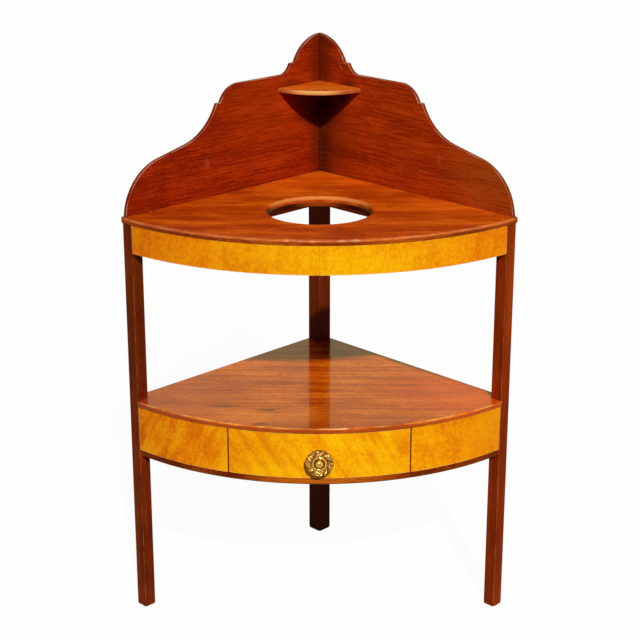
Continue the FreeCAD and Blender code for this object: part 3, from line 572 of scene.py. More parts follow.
def corner_lines_and_shade(painted_corner_shade):
    """Marks of a backsplash board: painted shade beside the corner, given in rows each with a strength, a
    height and its reach along and up, dark lines in the corner and along the top, and a painted shadow under
    the corner shelf."""
    rows = [(strength, (SPLASH_THICK, height), reach) for strength, height, reach in painted_corner_shade]
    rows += [
        (0.65, (SPLASH_THICK, 0.8), (CORNER_LINE, FREE)),
        (0.6, (SPLASH_THICK, 0.74), (CORNER_LINE, 0.06)),
        (0.3, (0.2, top_high.z), (FREE, SKIN)),
    ]
    rows += 2 * [  # a painted shadow of the corner shelf, laid on twice for a deep tone
        (0.95, (0.0, corner_low.z - 0.036), (0.085, 0.044)),
        (0.95, (0.055, corner_low.z - 0.012), (0.062, 0.028), -0.55),
    ]
    return [(GRIME_AND_SHADE, strength, place, (*reach, SKIN), *turn) for strength, place, reach, *turn in rows]


def splash_wood(side, tones, wear, shift, painted_corner_shade, rows):
    """Mahogany of a backsplash board, with dark lines, painted shade and a painted shadow in the corner, and
    rows of marks placed along the board and up.
    """
    marks = []
    for colour, strength, (along, height), *reach in corner_lines_and_shade(painted_corner_shade) + rows:
        marks.append((colour, strength, (along + shift, height, SPLASH_THICK), *reach))
    return mahogany(
        "splash_" + side, tones, WORN_AND_HIGHLIGHT, length=18, fine=420, figure=0.14, wear=wear, rub=(16, 16, 16),
        coat=0.02, shine=0.02, grime_and_shade=0.4, marks=marks,
    )


def painted_nosing_glint(x, reach):
    """Painted glint on the bead of the top, at a place across the front."""
    front = bow_spot(TOP_RADIUS, math.asin(x / TOP_RADIUS), top_high.z - 2.5 * MM)
    return PAINTED_GLINT, 0.4, front, (reach, 0.006, 0.0026)


# Each board gets painted shade beside the corner, in rows of a strength, a height and reaches along and up.
splash_left_wood = splash_wood(
    "left", ((0.17, 0.009, 0.001), (0.31, 0.02, 0.0015), (0.46, 0.045, 0.003)),
    wear=0.55, shift=0.0, painted_corner_shade=[(0.6, 0.8, (0.034, FREE))],
    rows=[
        ((0.52, 0.055, 0.003), 0.45, (0.14, 0.84), (0.16, 0.1, 0.1)),
        (PALE_RUB, 0.13, (0.273, 0.7618), (0.008, 0.013, 0.01)),
    ],
)
splash_right_wood = splash_wood(
    "right", ((0.23, 0.016, 0.001), (0.4, 0.034, 0.002), (0.57, 0.068, 0.005)),
    wear=0.5, shift=RIGHT_SHIFT, painted_corner_shade=[(0.75, 0.8, (0.046, FREE)), (0.6, 0.745, (0.14, 0.13))],
    rows=[
        ((0.42, 0.085, 0.008), 0.75, (0.4, 0.75), (0.14, 0.1, 0.1)),
        (PALE_RUB, 0.13, (0.2874, 0.7693), (0.008, 0.013, 0.01)),
        (PALE_RUB, 0.8, (0.0593, 0.8955), (0.011, 0.0012, 0.01), 0.861),
        (PALE_RUB, 0.1, (SPLASH_THICK + 2.6 * MM, 0.74), (0.0016, 0.04, 0.01)),
        (GRIME_AND_SHADE, 0.6, (0.352, 0.752), (0.0012, 0.017, 0.01), 0.3),
        (GRIME_AND_SHADE, 0.6, (0.36, 0.735), (0.011, 0.0012, 0.01), 0.5),
    ],
)
top_wood = mahogany(
    "top", ((0.38, 0.036, 0.001), (0.58, 0.077, 0.0025), (0.8, 0.15, 0.006)),
    worn_and_highlight=(0.73, 0.31, 0.11), fine=270, figure=0.4, wear=0.46, rub=(25, 60, 60), least=0.5, coat=0.02,
    shine=0.035, grime_and_shade=0.9,
    # painted highlight, golden along the far side of the rim of the hole
    painted_highlight=((0.98, 0.42, 0.12), 0.2, on_top(0.0, CORNER_Y - BASIN_FORWARD), (0.14, 0.14, 0.14)),
    marks=[
        (DARK_FIGURE, 0.6, on_top(0.0127, 0.1371), (0.035, 0.012, 0.02)),
        (DARK_FIGURE, 0.6, on_top(-0.1459, 0.0029), (0.03, 0.012, 0.02)),
        ((0.86, 0.13, 0.003), 0.55, on_top(0.0, 0.16), (0.2, 0.07, 0.1)),
        ((0.84, 0.15, 0.006), 0.4, on_top(0.22, -0.03), (0.13, 0.09, 0.1)),
        ((0.42, 0.035, 0.001), 0.4, on_top(-0.2, -0.02), (0.13, 0.07, 0.1)),
        ((1.0, 0.9, 0.8), 1.0, on_top(-0.2765, -0.0475), (0.003, 0.003, 0.01)),
        (GRIME_AND_SHADE, 0.8, spot(TOP_RADIUS, 0, top_high.z), (0.014, 0.014, 0.014)),
        (GRIME_AND_SHADE, 0.8, spot(0, TOP_RADIUS, top_high.z), (0.014, 0.014, 0.014)),
        *(painted_nosing_glint(*glint) for glint in NOSING_GLINTS),
    ],
)
# Hoop: near black, stained wood and painted shade inside the hole, with a painted lit patch on its far side
hoop_wood = mahogany(
    "hoop", ((0.03, 0.004, 0.001), (0.055, 0.007, 0.001), (0.09, 0.014, 0.002)),
    worn_and_highlight=(0.15, 0.03, 0.008), wear=0.2, gloss=0.6, shine=0.02,
    marks=[((0.42, 0.06, 0.006), 0.95, (HOOP_SHIFT, hoop_high.y, hoop_high.z), (0.07, 0.05, 0.012))],
)
leg_wood = mahogany(
    "leg", ((0.1, 0.01, 0.001), (0.2, 0.023, 0.002), (0.31, 0.048, 0.004)),
    worn_and_highlight=(0.45, 0.17, 0.06), length=10, gloss=0.45,
    # painted shade over the back leg and over the upper left leg below the apron, and a painted lit strip
    # high on the right face of the right leg
    marks=[
        (GRIME_AND_SHADE, 0.6, (0.35, 0.0, CORNER_Y), (FREE, 0.07, 0.09)),
        (GRIME_AND_SHADE, 0.7, (0.1, 0.0, CORNER_Y), (0.28, 0.07, 0.09)),
        (GRIME_AND_SHADE, 0.5, (0.55 + INNER_SIDE, -0.2935, -0.09), (0.24, 0.011, 0.09)),
        ((0.46, 0.07, 0.005), 0.7, (0.57, 0.3125, -0.09), (0.2, 0.011, 0.09)),
        ((0.42, 0.04, 0.001), 0.35, (0.35, 0.3, -0.08), (FREE, 0.05, 0.09)),
        (GRIME_AND_SHADE, 0.25, (0.55 + INNER_SIDE, -0.3, -0.08), (0.3, 0.05, 0.09)),
    ],
)
shelf_wood = mahogany(
    "shelf", ((0.36, 0.04, 0.001), (0.64, 0.1, 0.002), (0.86, 0.22, 0.008)),
    worn_and_highlight=(0.9, 0.48, 0.1), length=4, fine=170, wear=0.75, rub=(25, 40, 40), gloss=0.01, shine=0.22,
    depth=0.02 * MM,
    marks=[
        ((0.42, 0.045, 0.0), 1.0, (SHELF_SHIFT, -0.1, shelf_low.z + 2.5 * MM), (FREE, FREE, 4.1 * MM)),
        (GRIME_AND_SHADE, 1.0, on_shelf(*spot(0.0, SIDE / 2, 0.0).xy), (0.5, 0.015, 0.1), QUARTER / 2),
        # painted shade at both ends of the shelf, beside the front legs
        ((0.3, 0.03, 0.001), 0.75, on_shelf(-0.298, -0.087), (0.022, 0.03, 0.1)),
        ((0.45, 0.035, 0.001), 0.75, on_shelf(0.298, -0.087), (0.024, 0.03, 0.1)),
        ((0.34, 0.03, 0.02), 0.6, on_shelf(-0.24, -0.07), (0.15, 0.14, 0.1)),
        ((0.9, 0.07, 0.0), 0.5, on_shelf(0.24, -0.06), (0.2, 0.16, 0.1)),
        ((0.4, 0.045, 0.001), 0.45, on_shelf(0.0, -0.2), (0.16, 0.06, 0.1)),
        (DARK_FIGURE, 0.8, on_shelf(-0.1586, -0.1177), (0.03, 0.009, 0.02)),
        (DARK_FIGURE, 0.8, on_shelf(-0.0868, -0.1352), (0.024, 0.008, 0.02)),
        (DARK_FIGURE, 0.8, on_shelf(-0.0946, -0.1947), (0.022, 0.008, 0.02)),
    ],
)
bottom_wood = mahogany(
    "bottom", ((0.09, 0.008, 0.001), (0.21, 0.025, 0.001), (0.38, 0.07, 0.004)),
    worn_and_highlight=(0.5, 0.13, 0.02), length=8, wear=0.4,
    marks=[((0.64, 0.15, 0.008), 0.85, (BOTTOM_SHIFT, -0.2, bottom_low.z), (0.15, 0.1, 0.1))],
)
corner_front = (corner_low.y, corner_high.z)
corner_wood = mahogany(
    "corner_shelf", ((0.58, 0.08, 0.004), (0.78, 0.14, 0.007), (0.9, 0.23, 0.015)),
    worn_and_highlight=(0.3, 0.08, 0.025), wear=1.0, rub=(70, 70, 150), least=0.5, bare_walls=0.9, coat=0.08, shine=0.06,
    # painted highlight, gold across the middle of the front edge
    painted_highlight=((0.78, 0.42, 0.13), 1.0, (CORNER_SHIFT - 8 * MM, *corner_front), (0.068, 0.068, 0.04)),
)
apron_veneer = satinwood("apron", slant=0.12, flame=0.2, spread=0.15)
left_veneer = satinwood("left_panel", slant=0.5, flame=0.36, spread=0.1)
right_veneer = satinwood(
    "right_panel", slant=-0.3, flame=0.2, spread=0.13,
    marks=[
        ((0.1, 0.02, 0.003), 1.0, (0.177, 0.304, RIGHT_LEAF), (0.002, 0.002, 1.0)),
        # painted light: the right end of the right panel is lighter, as the light comes from the right
        ((1.0, 0.42, 0.001), 0.5, (0.31, 0.345, RIGHT_LEAF), (0.09, 0.07, 1.0)),
    ],
)
drawer_veneer = satinwood("drawer", slant=-0.55, flame=0.34, spread=0.115)
METALS = {"brass": aged_brass(), "iron": dull_iron()}


# Legs
def wear_foot(rings, middle, half):
    """Rub the corners of a leg round at its foot, up to the height of the wear."""
    above = []
    for k in range(1, ROUND_STEPS + 1):
        height = FOOT_ROUND + (FOOT_WEAR - FOOT_ROUND) * k / ROUND_STEPS
        above.append([(Vector((*place.xy, height)), edge, wall) for place, edge, wall in rings[ROUND_STEPS]])
    rings[ROUND_STEPS + 1:ROUND_STEPS + 1] = above
    for ring in rings[:2 * ROUND_STEPS + 1]:
        for knot in ring:
            place = knot[0]
            off = place.xy - middle
            rubbed = 1 - math.sqrt(1 - (1 - place.z / FOOT_WEAR) ** 2)
            limit = half * (ROOT2 - (ROOT2 - FOOT_REACH) * rubbed)
            place.xy = middle + off * min(1.0, limit / off.length)


def leg(name, node, u, v, width):
    """Square leg; u and v are those of its corner towards the outer back corner."""
    ends = [Vector((u + x, v + y)) for x, y in ((0, 0), (width, 0), (width, width), (0, width))]
    outline = [point for k, end in enumerate(ends) for point in straight(ends[k - 1], end, LEG_STEP)]
    rings = edge_rings(outline, 0.0, top_low.z, lambda point: (FOOT_ROUND, TIGHT))
    wear_foot(rings, (ends[0] + ends[2]) / 2, width / 2)
    stand_for(node, name, leg_wood, rings, spot, grain_upright(u))


leg("front_left_leg", "leg_front_left", INNER_SIDE, 0.0, LEG)
leg("front_right_leg", "leg_front_right", 0.0, INNER_SIDE, LEG)
leg("back_leg", "leg_back", 0.0, 0.0, BACK_LEG)


# Quadrant boards
def bow_line(radius, near):
    """Points of a bow that starts and ends near the straight sides."""
    reach = math.sqrt(radius**2 - near**2)
    start, end = Vector((reach, near)), Vector((near, reach))
    return [start] + bend(start, end, radius, 1)


def nosing(radius, low_round, high_round, margin=0.0):
    """Roundings of a quadrant board: full on its bow, fading out at the ends of the bow."""
    def rounding(point):
        on_bow = 1.0 if point.length > radius - NOSE_ROUND else 0.0
        share = on_bow * max(0.0, min(1.0, (min(point.x, point.y) - margin) / NOSE_BLEND))
        return TIGHT + (low_round - TIGHT) * share, TIGHT + (high_round - TIGHT) * share

    return rounding


def between(first, second, share):
    return [(knot[0].lerp(other[0], share), 0.0, 0.0) for knot, other in zip(first, second)]


# Edge of the top, a bead over a small step, in mm from the underside up: the rise, how far it lies behind
# its foremost line on the bow and on a straight side, how much pale wear it has, partly as a painted
# highlight on the bead, and how much painted shade it has under the bead and where the bead meets the
# surface.
TOP_EDGE = [
    (0.0, 1.7, 0.4, 0.0, 0.6), (0.25, 1.5, 0.1, 0.0, 0.5), (2.0, 1.3, 0.0, 0.0, 0.35),
    (3.4, 1.2, 0.0, 0.0, 0.3), (4.2, 0.8, 0.0, 0.0, 0.35), (4.7, 0.4, 0.0, 0.1, 0.2),
    (5.2, 0.1, 0.0, 0.3, 0.0), (6.1, 0.0, 0.0, 0.7, 0.0), (7.0, 0.15, 0.0, 1.0, 0.0),
    (8.0, 0.6, 0.0, 0.95, 0.0), (8.9, 1.4, 0.0, 0.5, 0.0), (9.5, 2.4, 0.0, 0.1, 0.15),
    (9.85, 3.4, 0.1, 0.0, 0.3), (10.0, 4.4, 0.4, 0.0, 0.3), (10.0, 5.8, 0.8, 0.0, 0.0),
]


def top_edge_rings(outline):
    """Rings round the edge of the top, from its underside to its surface."""
    points, _ = soften(outline, ARRIS)
    ways = miters(points)
    shares = [nosing(TOP_RADIUS, 1.0, 1.0)(point)[0] for point in points]
    rings = []
    for rise, on_bow, on_side, worn_and_highlight, painted_shade in TOP_EDGE:
        ring = []
        for point, way, share in zip(points, ways, shares):
            place = point - way * (on_bow * share + on_side * (1 - share)) * MM
            ring.append((Vector((*place, top_low.z + rise * MM)), worn_and_highlight * share, painted_shade * share))
        rings.append(ring)
    return rings


def round_rim(ways, radius):
    return [BASIN + way * radius for way in ways]


def lit_far_side(ring):
    """Ring of the hole with its pale wear and painted highlight on the far side of the rim only, and its
    wall darker except on the far side.
    """
    marked = []
    for place, edge, wall in ring:
        back = (BASIN - place.xy).normalized().dot(BASIN.normalized())
        far = swell(back, 0.05, 0.75)
        marked.append((place, edge * far, wall * (1 - 0.9 * far)))
    return marked


def top_board():
    corner, bow = Vector((0, 0)), bow_line(TOP_RADIUS, 0)
    outline = straight(corner, bow[0]) + bow + straight(bow[-1], corner)[1:]
    rings = top_edge_rings(outline)
    ways = [(knot[0].xy - BASIN).normalized() for knot in rings[0]]
    rim = round_rim(ways, BASIN_RADIUS)
    hole = edge_rings(rim, top_low.z, top_high.z, lambda point: (TIGHT, LIP_ROUND), inward=-1)[::-1]
    hole = [lit_far_side(ring) for ring in hole]
    over = [between(rings[-1], hole[0], share) for share in (0.25, 0.5, 0.75)]
    under = [between(hole[-1], rings[0], share) for share in (0.33, 0.67)]
    rings += over + hole + under
    stand_for("top_board", "washstand_top", top_wood, rings, spot, grain_across_front(0.0), hoop=True)


def basin_hoop():
    turns = [2 * math.pi * k / HOOP_POINTS for k in range(HOOP_POINTS)]
    ways = [Vector((math.cos(turn), math.sin(turn))) for turn in turns]
    radius = (hoop_high.x - hoop_low.x) / 2
    levels = (hoop_low.z, hoop_high.z, lambda point: (ARRIS, TIGHT / 2))
    outer = edge_rings(round_rim(ways, radius), *levels)
    inner = edge_rings(round_rim(ways, radius - HOOP_WIDTH), *levels, inward=-1)[::-1]
    grain = grain_across_front(HOOP_SHIFT)
    stand_for("basin_hoop", "basin_hoop_ring", hoop_wood, outer + inner, spot, grain, hoop=True)


BASIN = Vector((BASIN_FORWARD / ROOT2, BASIN_FORWARD / ROOT2))
top_board()
basin_hoop()


# Backsplash
def splash_outline(start):
    """Face of one board from its corner end: along the board, and up from the top."""
    slope_foot = Vector((SPLASH_END - ROUND_RUN, ROUND_RISE))
    slope_head = slope_foot + Vector((-SLOPE_RUN, SLOPE_RISE))
    step_out = slope_head + Vector((-HOLLOW_RUN, HOLLOW_RISE))
    step_in = step_out - Vector((STEP, 0))
    shoulder = step_in + Vector((-STEP_RUN, STEP_RISE))
    cove = Vector((ARCH_RUN + LEDGE + COVE_RUN, shoulder.y))
    ledge = Vector((ARCH_RUN + LEDGE, shoulder.y + COVE_RISE))
    arch = Vector((ARCH_RUN, ledge.y))
    arch_radius = arc_radius(ARCH_RUN, ARCH_RISE)
    tip = Vector((start, arch.y + ARCH_RISE - arch_radius + math.sqrt(arch_radius**2 - start**2)))
    points = [Vector((start, 0)), Vector((SPLASH_END, 0))]
    points += bend(points[-1], slope_foot, ROUND_RADIUS, 1)
    points += straight(slope_foot, slope_head)[1:] + [slope_head]
    points += bend(slope_head, step_out, HOLLOW_RADIUS, -1)
    points.append(step_in)
    points += bend(step_in, shoulder, arc_radius(STEP_RUN, STEP_RISE), 1)
    points.append(cove)
    points += bend(cove, ledge, COVE_RADIUS, -1)
    points.append(arch)
    return points + bend(arch, tip, arch_radius, 1)


def splash_rounding(point):
    """Soft along the free edge, tight where the board stands on the top or meets the other board."""
    off_top, off_corner = point.y / SPLASH_BLEND, max(0.0, point.x - SPLASH_THICK) / SPLASH_BLEND
    radius = TIGHT + (SPLASH_ROUND - TIGHT) * min(1.0, off_top) * min(1.0, off_corner)
    return radius, radius


def splash_rings(start):
    return edge_rings(splash_outline(start), 0.0, SPLASH_THICK, splash_rounding, corner=SPLASH_ROUND + TIGHT)


def on_left_side(u, rise, v):
    return spot(u, v, top_high.z + rise)


def on_right_side(v, rise, u):
    return spot(u, v, top_high.z + rise)


def lap(rings):
    """Let the left board run on behind the end of the right one, in a lap of half its thickness."""
    half = len(rings) // 2
    for ring in rings[:half]:
        for knot in ring:
            if knot[0].x < SPLASH_THICK + 2 * SPLASH_ROUND:
                knot[0].x -= SPLASH_THICK
    steps = []
    for ring, depth in ((rings[half - 1], SPLASH_LAP - LAP_STEP), (rings[half], SPLASH_LAP)):
        steps.append([(Vector((*place.xy, depth)), edge, wall) for place, edge, wall in ring])
    rings[half:half] = steps


left_rings, right_rings = splash_rings(SPLASH_THICK), splash_rings(SPLASH_LAP)
left_grain, right_grain = grain_side_board(-1, 0.0), grain_side_board(1, RIGHT_SHIFT)
lap(left_rings)
stand_for("splash_left", "left_backsplash", splash_left_wood, left_rings, on_left_side, left_grain)
stand_for("splash_right", "right_backsplash", splash_right_wood, right_rings, on_right_side, right_grain)


# Corner shelf, lower shelf and bottom board
def quadrant_board(name, node, shape, margin, rounds, material, shift):
    """Board in a shape of its own radius. The rounds of its bow, low and high, fade out at the margins."""
    low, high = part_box(node)
    radius = CORNER_Y - low.y
    rings = edge_rings(shape(radius), low.z, high.z, nosing(radius, *rounds, margin))
    stand_for(node, name, material, rings, spot, grain_across_front(shift))


def grooved(radius):
    """Quadrant that ends in the grooves of the backsplash."""
    return [Vector((SHELF_GROOVE, SHELF_GROOVE))] + bow_line(radius, SHELF_GROOVE)


def notched(radius):
    """Quadrant with notches for the three legs."""
    left = [(BACK_LEG, 0), (INNER_SIDE, 0), (INNER_SIDE, LEG)]
    right = [(LEG, INNER_SIDE), (0, INNER_SIDE), (0, BACK_LEG), (BACK_LEG, BACK_LEG)]
    return [Vector(point) for point in left] + bow_line(radius, LEG) + [Vector(point) for point in right]


corner_rounds = (CORNER_ROUND, CORNER_ROUND)
quadrant_board(
    "small_corner_shelf", "corner_shelf", grooved, SHELF_GROOVE, corner_rounds, corner_wood, CORNER_SHIFT
)
quadrant_board("lower_shelf", "shelf_board", notched, LEG, (ARRIS, SHELF_ROUND), shelf_wood, SHELF_SHIFT)
quadrant_board("case_bottom", "bottom_board", notched, LEG, (BOTTOM_ROUND, ARRIS), bottom_wood, BOTTOM_SHIFT)


# Veneers on the bow
def stops_along(length, pitch):
    """Places along a leaf: close together at its two ends, a pitch apart between them."""
    near = [0.0, VENEER_ROUND / 3, VENEER_ROUND, LEG_JOINT, 0.5 * JOINT_WIDTH, RIM_WIDTH]
    count = max(2, math.ceil((length - 2 * RIM_WIDTH) / pitch))
    middle = [RIM_WIDTH + (length - 2 * RIM_WIDTH) * k / count for k in range(1, count)]
    return near + middle + [length - place for place in reversed(near)]


def drop(distance):
    """How far a rounded rim falls back at a distance from the end of the leaf."""
    short = max(0.0, VENEER_ROUND - distance)
    return VENEER_ROUND - math.sqrt(VENEER_ROUND**2 - short**2)


def under_bow(angle, z, depth):
    return bow_spot(BOW - depth, angle, z)


def leaf(place, side, start, end, joints, material, number):
    """Leaf of veneer between two angles, with rounded rims. joints are the dark widths at its two ends."""
    node, name = place + "_veneer" + side, place + "_leaf" + side
    low, high = (corner.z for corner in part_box(node))
    length, height = (end - start) * BOW, high - low
    rings = []
    for along in stops_along(length, LEAF_STEP):
        angle = start + along / BOW
        to_joints = list(zip((along, length - along), joints))
        dark = max(0.0, *(1 - distance / joint for distance, joint in to_joints))
        to_rim = [distance for distance, joint in to_joints if joint != SEAM_WIDTH]
        ring = []
        for rise in stops_along(height, RISE_STEP):
            nearest = min(along, length - along, rise, height - rise)
            pale = max(0.0, 1 - min(rise, height - rise, *to_rim) / RIM_WIDTH)
            ring.append((Vector((angle, low + rise, drop(nearest))), pale, min(1.0, 2 * dark)))
        ring += [(Vector((angle, level, VENEER)), 0.0, 1.0) for level in (high, low)]
        rings.append(ring)
    stand_for(node, name, material, rings, under_bow, grain_round_bow(number))


def leaf_pair(place, inner, joint, left, right):
    """Leaf to the left and to the right, each from an inner angle with a joint to its leg."""
    leaf(place, "_left", -LEG_ANGLE, -inner, (LEG_JOINT, joint), *left)
    leaf(place, "_right", inner, LEG_ANGLE, (joint, LEG_JOINT), *right)


LEG_ANGLE = QUARTER / 2 - math.asin(LEG / BOW)
OPENING_ANGLE = math.asin(panel_low.x / BOW)
DRAWER_ANGLE = math.asin(drawer_high.x / BOW)
SEAM_ANGLE = 0.03 * MM / BOW
leaf_pair("apron", SEAM_ANGLE, SEAM_WIDTH, (apron_veneer, 1.0), (apron_veneer, 2.0))
leaf_pair("panel", OPENING_ANGLE, JOINT_WIDTH, (left_veneer, 4.0), (right_veneer, RIGHT_LEAF))
leaf("drawer", "", -DRAWER_ANGLE, DRAWER_ANGLE, (DRAWER_JOINT, DRAWER_JOINT), drawer_veneer, 8.0)


# Knob: a cast rosette with a domed boss, a ring, a hollow collar and a border of swirling leaves.
# Profiles are radii and distances out from the drawer front, in mm.
KNOB_RADIUS = 23.6 * MM
BORDER = 13.2 * MM
COLLAR = 12.2 * MM
GROOVE, GROOVE_WIDTH = 7.8 * MM, 0.7 * MM
PETAL, PETAL_WIDTH, PETAL_RISE = 3.6 * MM, 1.3 * MM, 0.3 * MM
BOSS_TIP = 0.3 * MM
LEAVES = 10
TWIST = 0.55
PETALS = 6
KNOB_POINTS = 252
BORDER_RINGS, BOSS_RINGS = 28, 48
BACK_PROFILE = [
    (8.8, 0), (9, 0.2), (9, 2.2), (8.6, 2.5), (6.8, 2.7), (6.1, 3.4), (6, 8), (6.4, 9.2), (10, 10.4),
    (16, 12), (21, 13.2),
]
FACE_PROFILE = [
    (23.6, 13.8), (22.6, 15.4), (20.2, 17), (17.4, 17.8), (15, 17.4), (13.2, 16.8), (12.6, 17.6),
    (11.6, 18.8), (10.4, 19.2), (9.2, 18.7), (8.5, 17.6), (8.1, 16.4), (7.4, 16.4), (7, 18.4), (6.2, 20.6),
    (4.6, 22.2), (2.6, 23), (0.3, 23.4),
]


def leaf_turn(share, angle):
    """Place across a leaf of the border, from 0 at its low side to 1 at its high side."""
    uneven = 0.3 * math.sin(2 * angle + 0.7) + 0.22 * math.sin(5 * angle)
    return (LEAVES * angle / (2 * math.pi) + TWIST * share + uneven) % 1.0


def leaf_reach(angle):
    """Radius of the border: lobed leaf tips."""
    across = 2 * math.pi * leaf_turn(1.0, angle)
    lobes = 0.45 * (1 + math.cos(across)) + 0.2 * (1 + math.cos(3 * across))
    return KNOB_RADIUS - lobes * MM


def relief(share, angle):
    """Height of a leaf over the border and how hollow it is, at a share of the way from collar to tip."""
    across = leaf_turn(share, angle)
    crown = swell(share, 0.0, 0.3) * (1 - swell(share, 0.75, 1.0))
    uneven = 1 + 0.25 * math.sin(3 * angle + 1) * math.cos(7 * angle)
    blade = across**0.8 * (1 - swell(across, 0.82, 1.0)) * uneven
    ribs = math.cos(2 * math.pi * (4.3 * share - 2.2 * across)) * math.cos(9 * angle + 5 * share)
    height = crown * blade * (2.2 + 0.9 * ribs) * MM
    return height, max(0.0, min(1.0, 1.0 - 1.1 * blade - 0.5 * ribs - 0.2 * swell(share, 0.8, 1.0)))


def face_height(radius):
    """Height of the turned face at a radius."""
    for (outer, low), (inner, high) in zip(FACE_PROFILE, FACE_PROFILE[1:]):
        if radius >= inner * MM:
            share = (outer * MM - radius) / ((outer - inner) * MM)
            return (low + (high - low) * min(1.0, max(0.0, share))) * MM
    return FACE_PROFILE[-1][1] * MM


def knob_ring(knot):
    """Ring of knots round the axis of the knob."""
    return [knot(2 * math.pi * k / KNOB_POINTS) for k in range(KNOB_POINTS)]


def around(angle, radius, out, hollow):
    return Vector((radius * math.cos(angle), radius * math.sin(angle), out)), 0.0, hollow


def back_knot(radius, out):
    """Knot of the turned back, which widens into the leaf tips."""
    share = max(0.0, radius / KNOB_RADIUS - 0.4) / 0.6
    return lambda angle: around(angle, radius + share * (leaf_reach(angle) - KNOB_RADIUS), out, 0.35)


def border_knot(share):
    """Knot of the leaf border, at a share of the way from the collar to the tips."""
    def knot(angle):
        radius = BORDER + share * (leaf_reach(angle) - BORDER)
        height, hollow = relief(share, angle)
        return around(angle, radius, face_height(BORDER + share * (KNOB_RADIUS - BORDER)) + height, hollow)

    return knot


def boss_knot(radius):
    """Knot of the collar, the ring, the groove and the boss with its small petals."""
    groove = math.exp(-(((radius - GROOVE) / GROOVE_WIDTH) ** 2))
    collar = 0.8 * swell(radius, COLLAR, BORDER)
    petal = math.exp(-(((radius - PETAL) / PETAL_WIDTH) ** 2))

    def knot(angle):
        wave = math.cos(PETALS * angle)
        height = face_height(radius) + PETAL_RISE * petal * wave
        return around(angle, radius, height, max(groove, collar, 0.75 * petal * max(0.0, -wave)))

    return knot


def on_knob(x, rise, out):
    return Vector((x, knob_high.y - out, (knob_low.z + knob_high.z) / 2 + rise))


knots = [back_knot(radius * MM, out * MM) for radius, out in BACK_PROFILE]
knots += [border_knot(1 - k / BORDER_RINGS) for k in range(BORDER_RINGS + 1)]
knots += [boss_knot(BORDER - k * (BORDER - BOSS_TIP) / BOSS_RINGS) for k in range(1, BOSS_RINGS + 1)]
knob_rings = [knob_ring(knot) for knot in knots]
stand_for("drawer_knob", "rosette_knob", METALS["brass"], knob_rings, on_knob, grain_upright(0))


# Nodes that keep their solids
STAINED = ("front_panel", "drawer_front", "top_rail")
TONES_OF = {  # early, late and dark wood, and the pitch of the rings
    "pine": ((0.56, 0.29, 0.1), (0.42, 0.18, 0.05), (0.24, 0.09, 0.022), 5 * MM),
    "oak": ((0.5, 0.29, 0.12), (0.4, 0.21, 0.08), (0.26, 0.125, 0.045), 3 * MM),
    "stained_pine": ((0.62, 0.1, 0.008), (0.45, 0.06, 0.005), (0.25, 0.025, 0.003), 5 * MM),
}
WAY_OF = {}  # how far the grain of a solid is turned from X
for side, way in (("left", QUARTER / 2), ("right", -QUARTER / 2)):
    WAY_OF.update({"top_rail_" + side: way, "case_side_" + side: way})
    WAY_OF.update({"drawer_guide_" + side: QUARTER, "drawer_side_" + side: QUARTER})

woods = {}
for node, solid in frame["nodes"].items():
    if solid.hide_render:
        continue
    slot = "stained_pine" if node.startswith(STAINED) else SLOT_OF[node]
    way = WAY_OF.get(node, 0.0)
    if slot in TONES_OF and (slot, way) not in woods:
        name = "%s_%d" % (slot, round(math.degrees(way)) % 180)
        woods[slot, way] = plain_wood(name, way, *TONES_OF[slot])
    solid.data.materials.clear()
    solid.data.materials.append(woods.get((slot, way)) or METALS[slot])


# Floor, light and camera
WHITE = (1.0, 1.0, 1.0)
REFLECTED = (1.0, 0.86, 0.45)
FLOOR_REACH = 40.0
CAMERA_PLACE = (0.9 * MM, -2.6339, 1.4081)
CAMERA_TILT = math.radians(70.92)
LENS, SENSOR = 92.07, 36.0


def looks(finish):
    """1 for rays that look straight, in polish or through glass, and the colour that they see."""
    rays = finish.node("LightPath", {}).node.outputs
    looking = finish.most(rays["Is Camera Ray"], rays["Is Glossy Ray"])
    looking = finish.most(looking, rays["Is Transmission Ray"])
    return looking, finish.mix(rays["Is Camera Ray"], REFLECTED, WHITE)


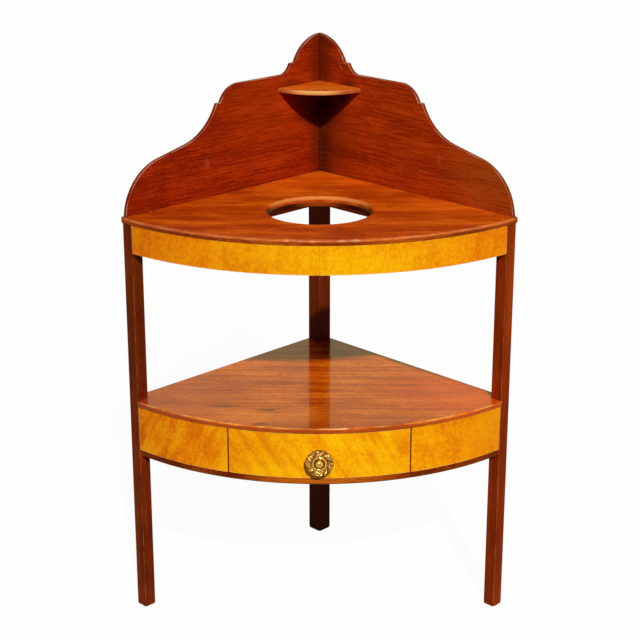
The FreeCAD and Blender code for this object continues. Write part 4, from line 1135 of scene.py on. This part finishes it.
def pale_stage():
    """Pale floor, white where it is seen and cream where it is reflected; it keeps the shadow."""
    mesh = bpy.data.meshes.new("floor")
    ways = ((-1, -1), (1, -1), (1, 1), (-1, 1))
    mesh.from_pydata([(x * FLOOR_REACH, y * FLOOR_REACH, 0) for x, y in ways], [], [(0, 1, 2, 3)])
    floor = show("floor", mesh)
    finish = Finish("pale_floor")
    looking, seen = looks(finish)
    speck = finish.noise(finish.place(), (3, 3, 3))
    pale = finish.ramp(speck, (0.3, (0.88, 0.88, 0.88)), (0.7, (0.92, 0.92, 0.92)))
    plain = finish.node("BsdfDiffuse", {"Color": finish.mix(looking, (0.3, 0.3, 0.3), pale)})
    white = finish.node("Emission", {"Color": seen, "Strength": 1.0})
    mixed = finish.node("MixShader", {0: finish.product(looking, 0.96), 1: plain, 2: white})
    mesh.materials.append(finish.end(mixed))


def surround():
    """World: white to the eye, cream to polish, a soft fill to the rest."""
    finish = Finish("surround", bpy.data.worlds)
    looking, seen = looks(finish)
    fill = finish.node("Background", {"Color": (1.0, 0.98, 0.95, 1.0), "Strength": 0.03})
    white = finish.node("Background", {"Color": seen})
    mixed = finish.node("MixShader", {0: looking, 1: fill, 2: white})
    bpy.context.scene.world = finish.end(mixed, "OutputWorld")


def sun(name, azimuth, elevation, energy, softness, colour):
    """Softened light from a way round the object, in degrees: azimuth 0 is the front, positive the right."""
    light = bpy.data.lights.new(name, "SUN")
    light.energy = energy
    light.angle = math.radians(softness)
    light.color = colour
    show(name, light).rotation_euler = (QUARTER - math.radians(elevation), 0.0, math.radians(azimuth))


def camera():
    lens = bpy.data.cameras.new("camera")
    lens.lens = LENS
    lens.sensor_width = SENSOR
    viewer = show("camera", lens)
    viewer.location = CAMERA_PLACE
    viewer.rotation_euler = (CAMERA_TILT, 0.0, 0.0)
    bpy.context.scene.camera = viewer


pale_stage()
surround()
sun("key", azimuth=10, elevation=39, energy=3.4, softness=2, colour=(1.0, 0.97, 0.92))
sun("back_light", azimuth=195, elevation=45, energy=0.45, softness=30, colour=(0.95, 0.97, 1.0))
camera()
bpy.context.scene.view_settings.view_transform = "Standard"
